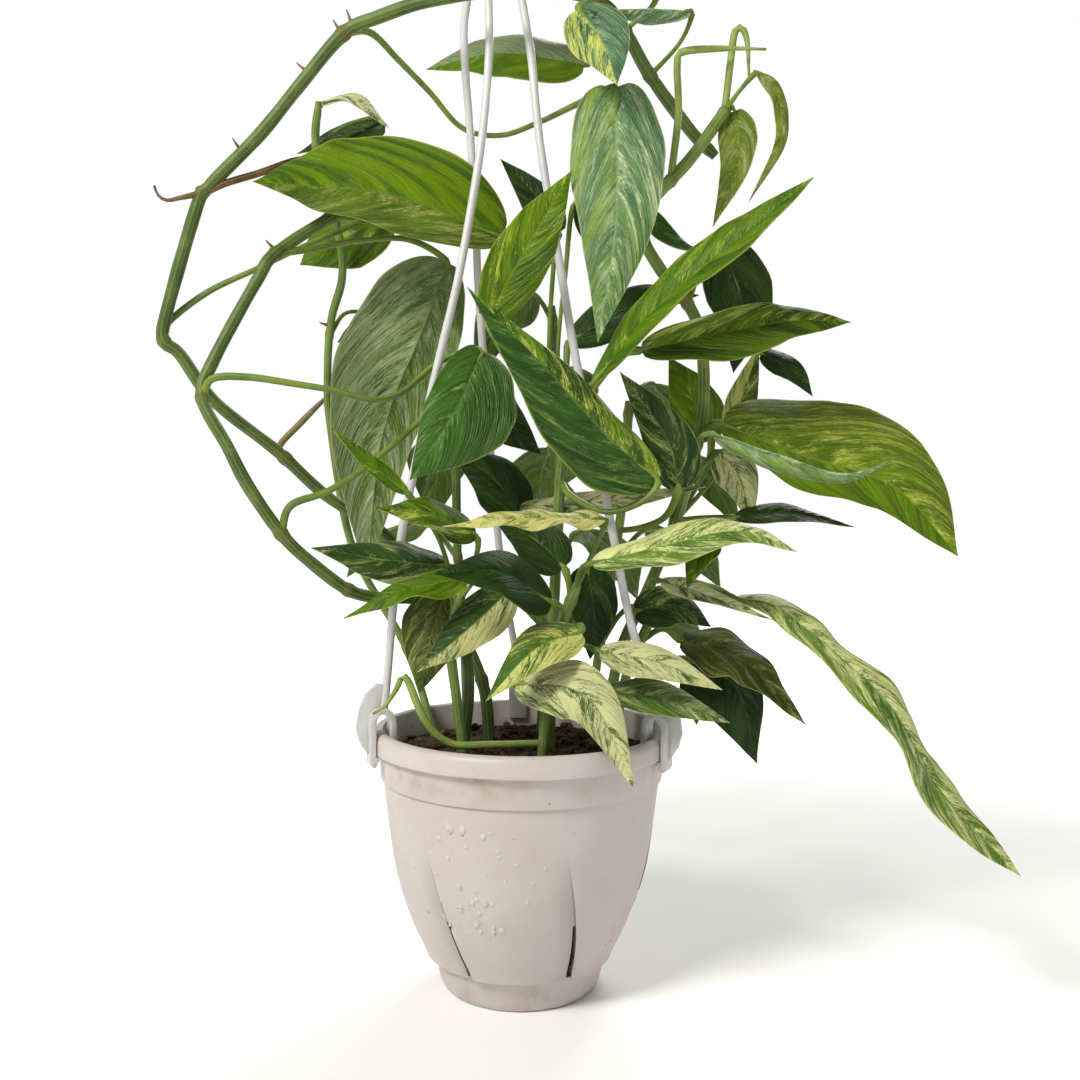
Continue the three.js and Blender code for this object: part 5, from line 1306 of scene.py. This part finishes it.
def make_hanger(finish):
    """Three strands with their rim clips, the hub they end in, and the hook."""
    for name, route in STRANDS.items():
        make_strand(name, Route(metres(route)), finish)
    radius, foot, top = HUB["radius"], HUB["foot"], HUB["top"]
    profile = [(radius - 0.0035, foot), (radius - 0.002, foot + 0.0003), (radius - 0.0005, foot + 0.0018),
        (radius, foot + 0.004), (radius, foot + 0.0145), (radius - 0.0004, foot + 0.016),
        (radius - 0.0026, top - 0.0056), (radius - 0.0034, top - 0.0048), (0.0052, top - 0.0006),
        (0.0045, top), (0.003, top)]
    hub = new_lathe("hub", profile, 48, finish, HUB["x"])
    curve = Route(HOOK)
    hook = new_tube("hook", curve,
        lambda d: HOOK_RADIUS * (0.8 + 0.2 * smooth_step(curve.length - d, 0, 0.006)), finish, sides=18,
        step=0.0012, up=(0, 1, 0))
    hand_over(shaded(joined("hub_and_hook", [hub, hook]), 35), "hanger_hook")


def make_floor():
    """A plain pale floor, with painted light: it glows more the further it is from the middle, so that it
    fades into the white world.
    """
    made = Finish("floor_pale")
    place = made.place()
    tone = made.mix(made.noise(place, 2.0, 2.0), "#f4f4f3", "#fafaf9")
    reach = made.node("ShaderNodeVectorMath", {0: place}, operation="LENGTH").outputs["Value"]
    # Painted light: emission grows with distance from the middle.
    made.set(base_color=tone, roughness=0.7, specular_ior_level=0.1, emission_color=(1, 1, 1, 1),
        emission_strength=made.step(reach, 0.25, 1.6, 0.0, 0.75))
    pick()
    bpy.ops.mesh.primitive_circle_add(vertices=64, radius=40, fill_type="NGON")
    floor = bpy.context.object
    floor.name = "floor"
    floor.data.materials.append(made.material)


def add_area(name, location, size, power, tint):
    """A square light that faces the middle of the plant."""
    light = bpy.data.lights.new(name, "AREA")
    light.energy = power
    light.size = size
    light.color = tint
    lamp = bpy.data.objects.new(name, light)
    lamp.location = location
    lamp.rotation_euler = (Vector((0, 0, 0.3)) - Vector(location)).to_track_quat("-Z", "Y").to_euler()
    bpy.context.collection.objects.link(lamp)


def make_light():
    """Plain soft studio light: a key from the upper left, a fill, a back light and a pale world."""
    add_area("key", (-0.9, -1.0, 1.4), 0.5, 32, (1.0, 0.98, 0.92))
    add_area("fill", (1.4, -1.2, 0.7), 1.6, 4, (1.0, 0.97, 0.95))
    add_area("back", (0.5, 1.5, 1.4), 1.0, 25, (1.0, 1.0, 0.95))
    world = bpy.data.worlds.new("studio")
    world.use_nodes = True
    tree = world.node_tree
    seen = tree.nodes.new("ShaderNodeLightPath")
    strength = tree.nodes.new("ShaderNodeMapRange")
    tree.links.new(seen.outputs["Is Camera Ray"], strength.inputs["Value"])
    strength.inputs["To Min"].default_value = 0.29
    strength.inputs["To Max"].default_value = 1.0
    background = tree.nodes["Background"]
    background.inputs["Color"].default_value = (1, 1, 1, 1)
    tree.links.new(strength.outputs[0], background.inputs["Strength"])
    bpy.context.scene.world = world
    bpy.context.scene.view_settings.view_transform = "Standard"


def make_camera():
    data = bpy.data.cameras.new("camera")
    data.sensor_width = SENSOR
    data.lens = FOCAL_PIXELS / IMAGE_PIXELS * SENSOR
    data.clip_start = 0.01
    data.clip_end = 50
    camera = bpy.data.objects.new("camera", data)
    forward = Vector((0, math.cos(CAMERA_PITCH), -math.sin(CAMERA_PITCH)))
    up = Vector((0, math.sin(CAMERA_PITCH), math.cos(CAMERA_PITCH)))
    right = Vector((1, 0, 0))
    rolled_right = right * math.cos(CAMERA_ROLL) + up * math.sin(CAMERA_ROLL)
    rolled_up = up * math.cos(CAMERA_ROLL) - right * math.sin(CAMERA_ROLL)
    axes = Matrix((rolled_right, rolled_up, -forward)).transposed()
    camera.matrix_world = Matrix.Translation(CAMERA_PLACE) @ axes.to_4x4()
    bpy.context.collection.objects.link(camera)
    bpy.context.scene.camera = camera


make_camera()
make_light()
make_floor()
make_pot(pot_finish())
make_drops(water_finish())
make_soil(soil_finish("soil_damp", "#1c130c", "#4a3524", "#857056"),
    soil_finish("soil_crumb", "#2c1e14", "#5f4731", "#a08d74"))
make_hanger(hanger_finish())
make_plant()
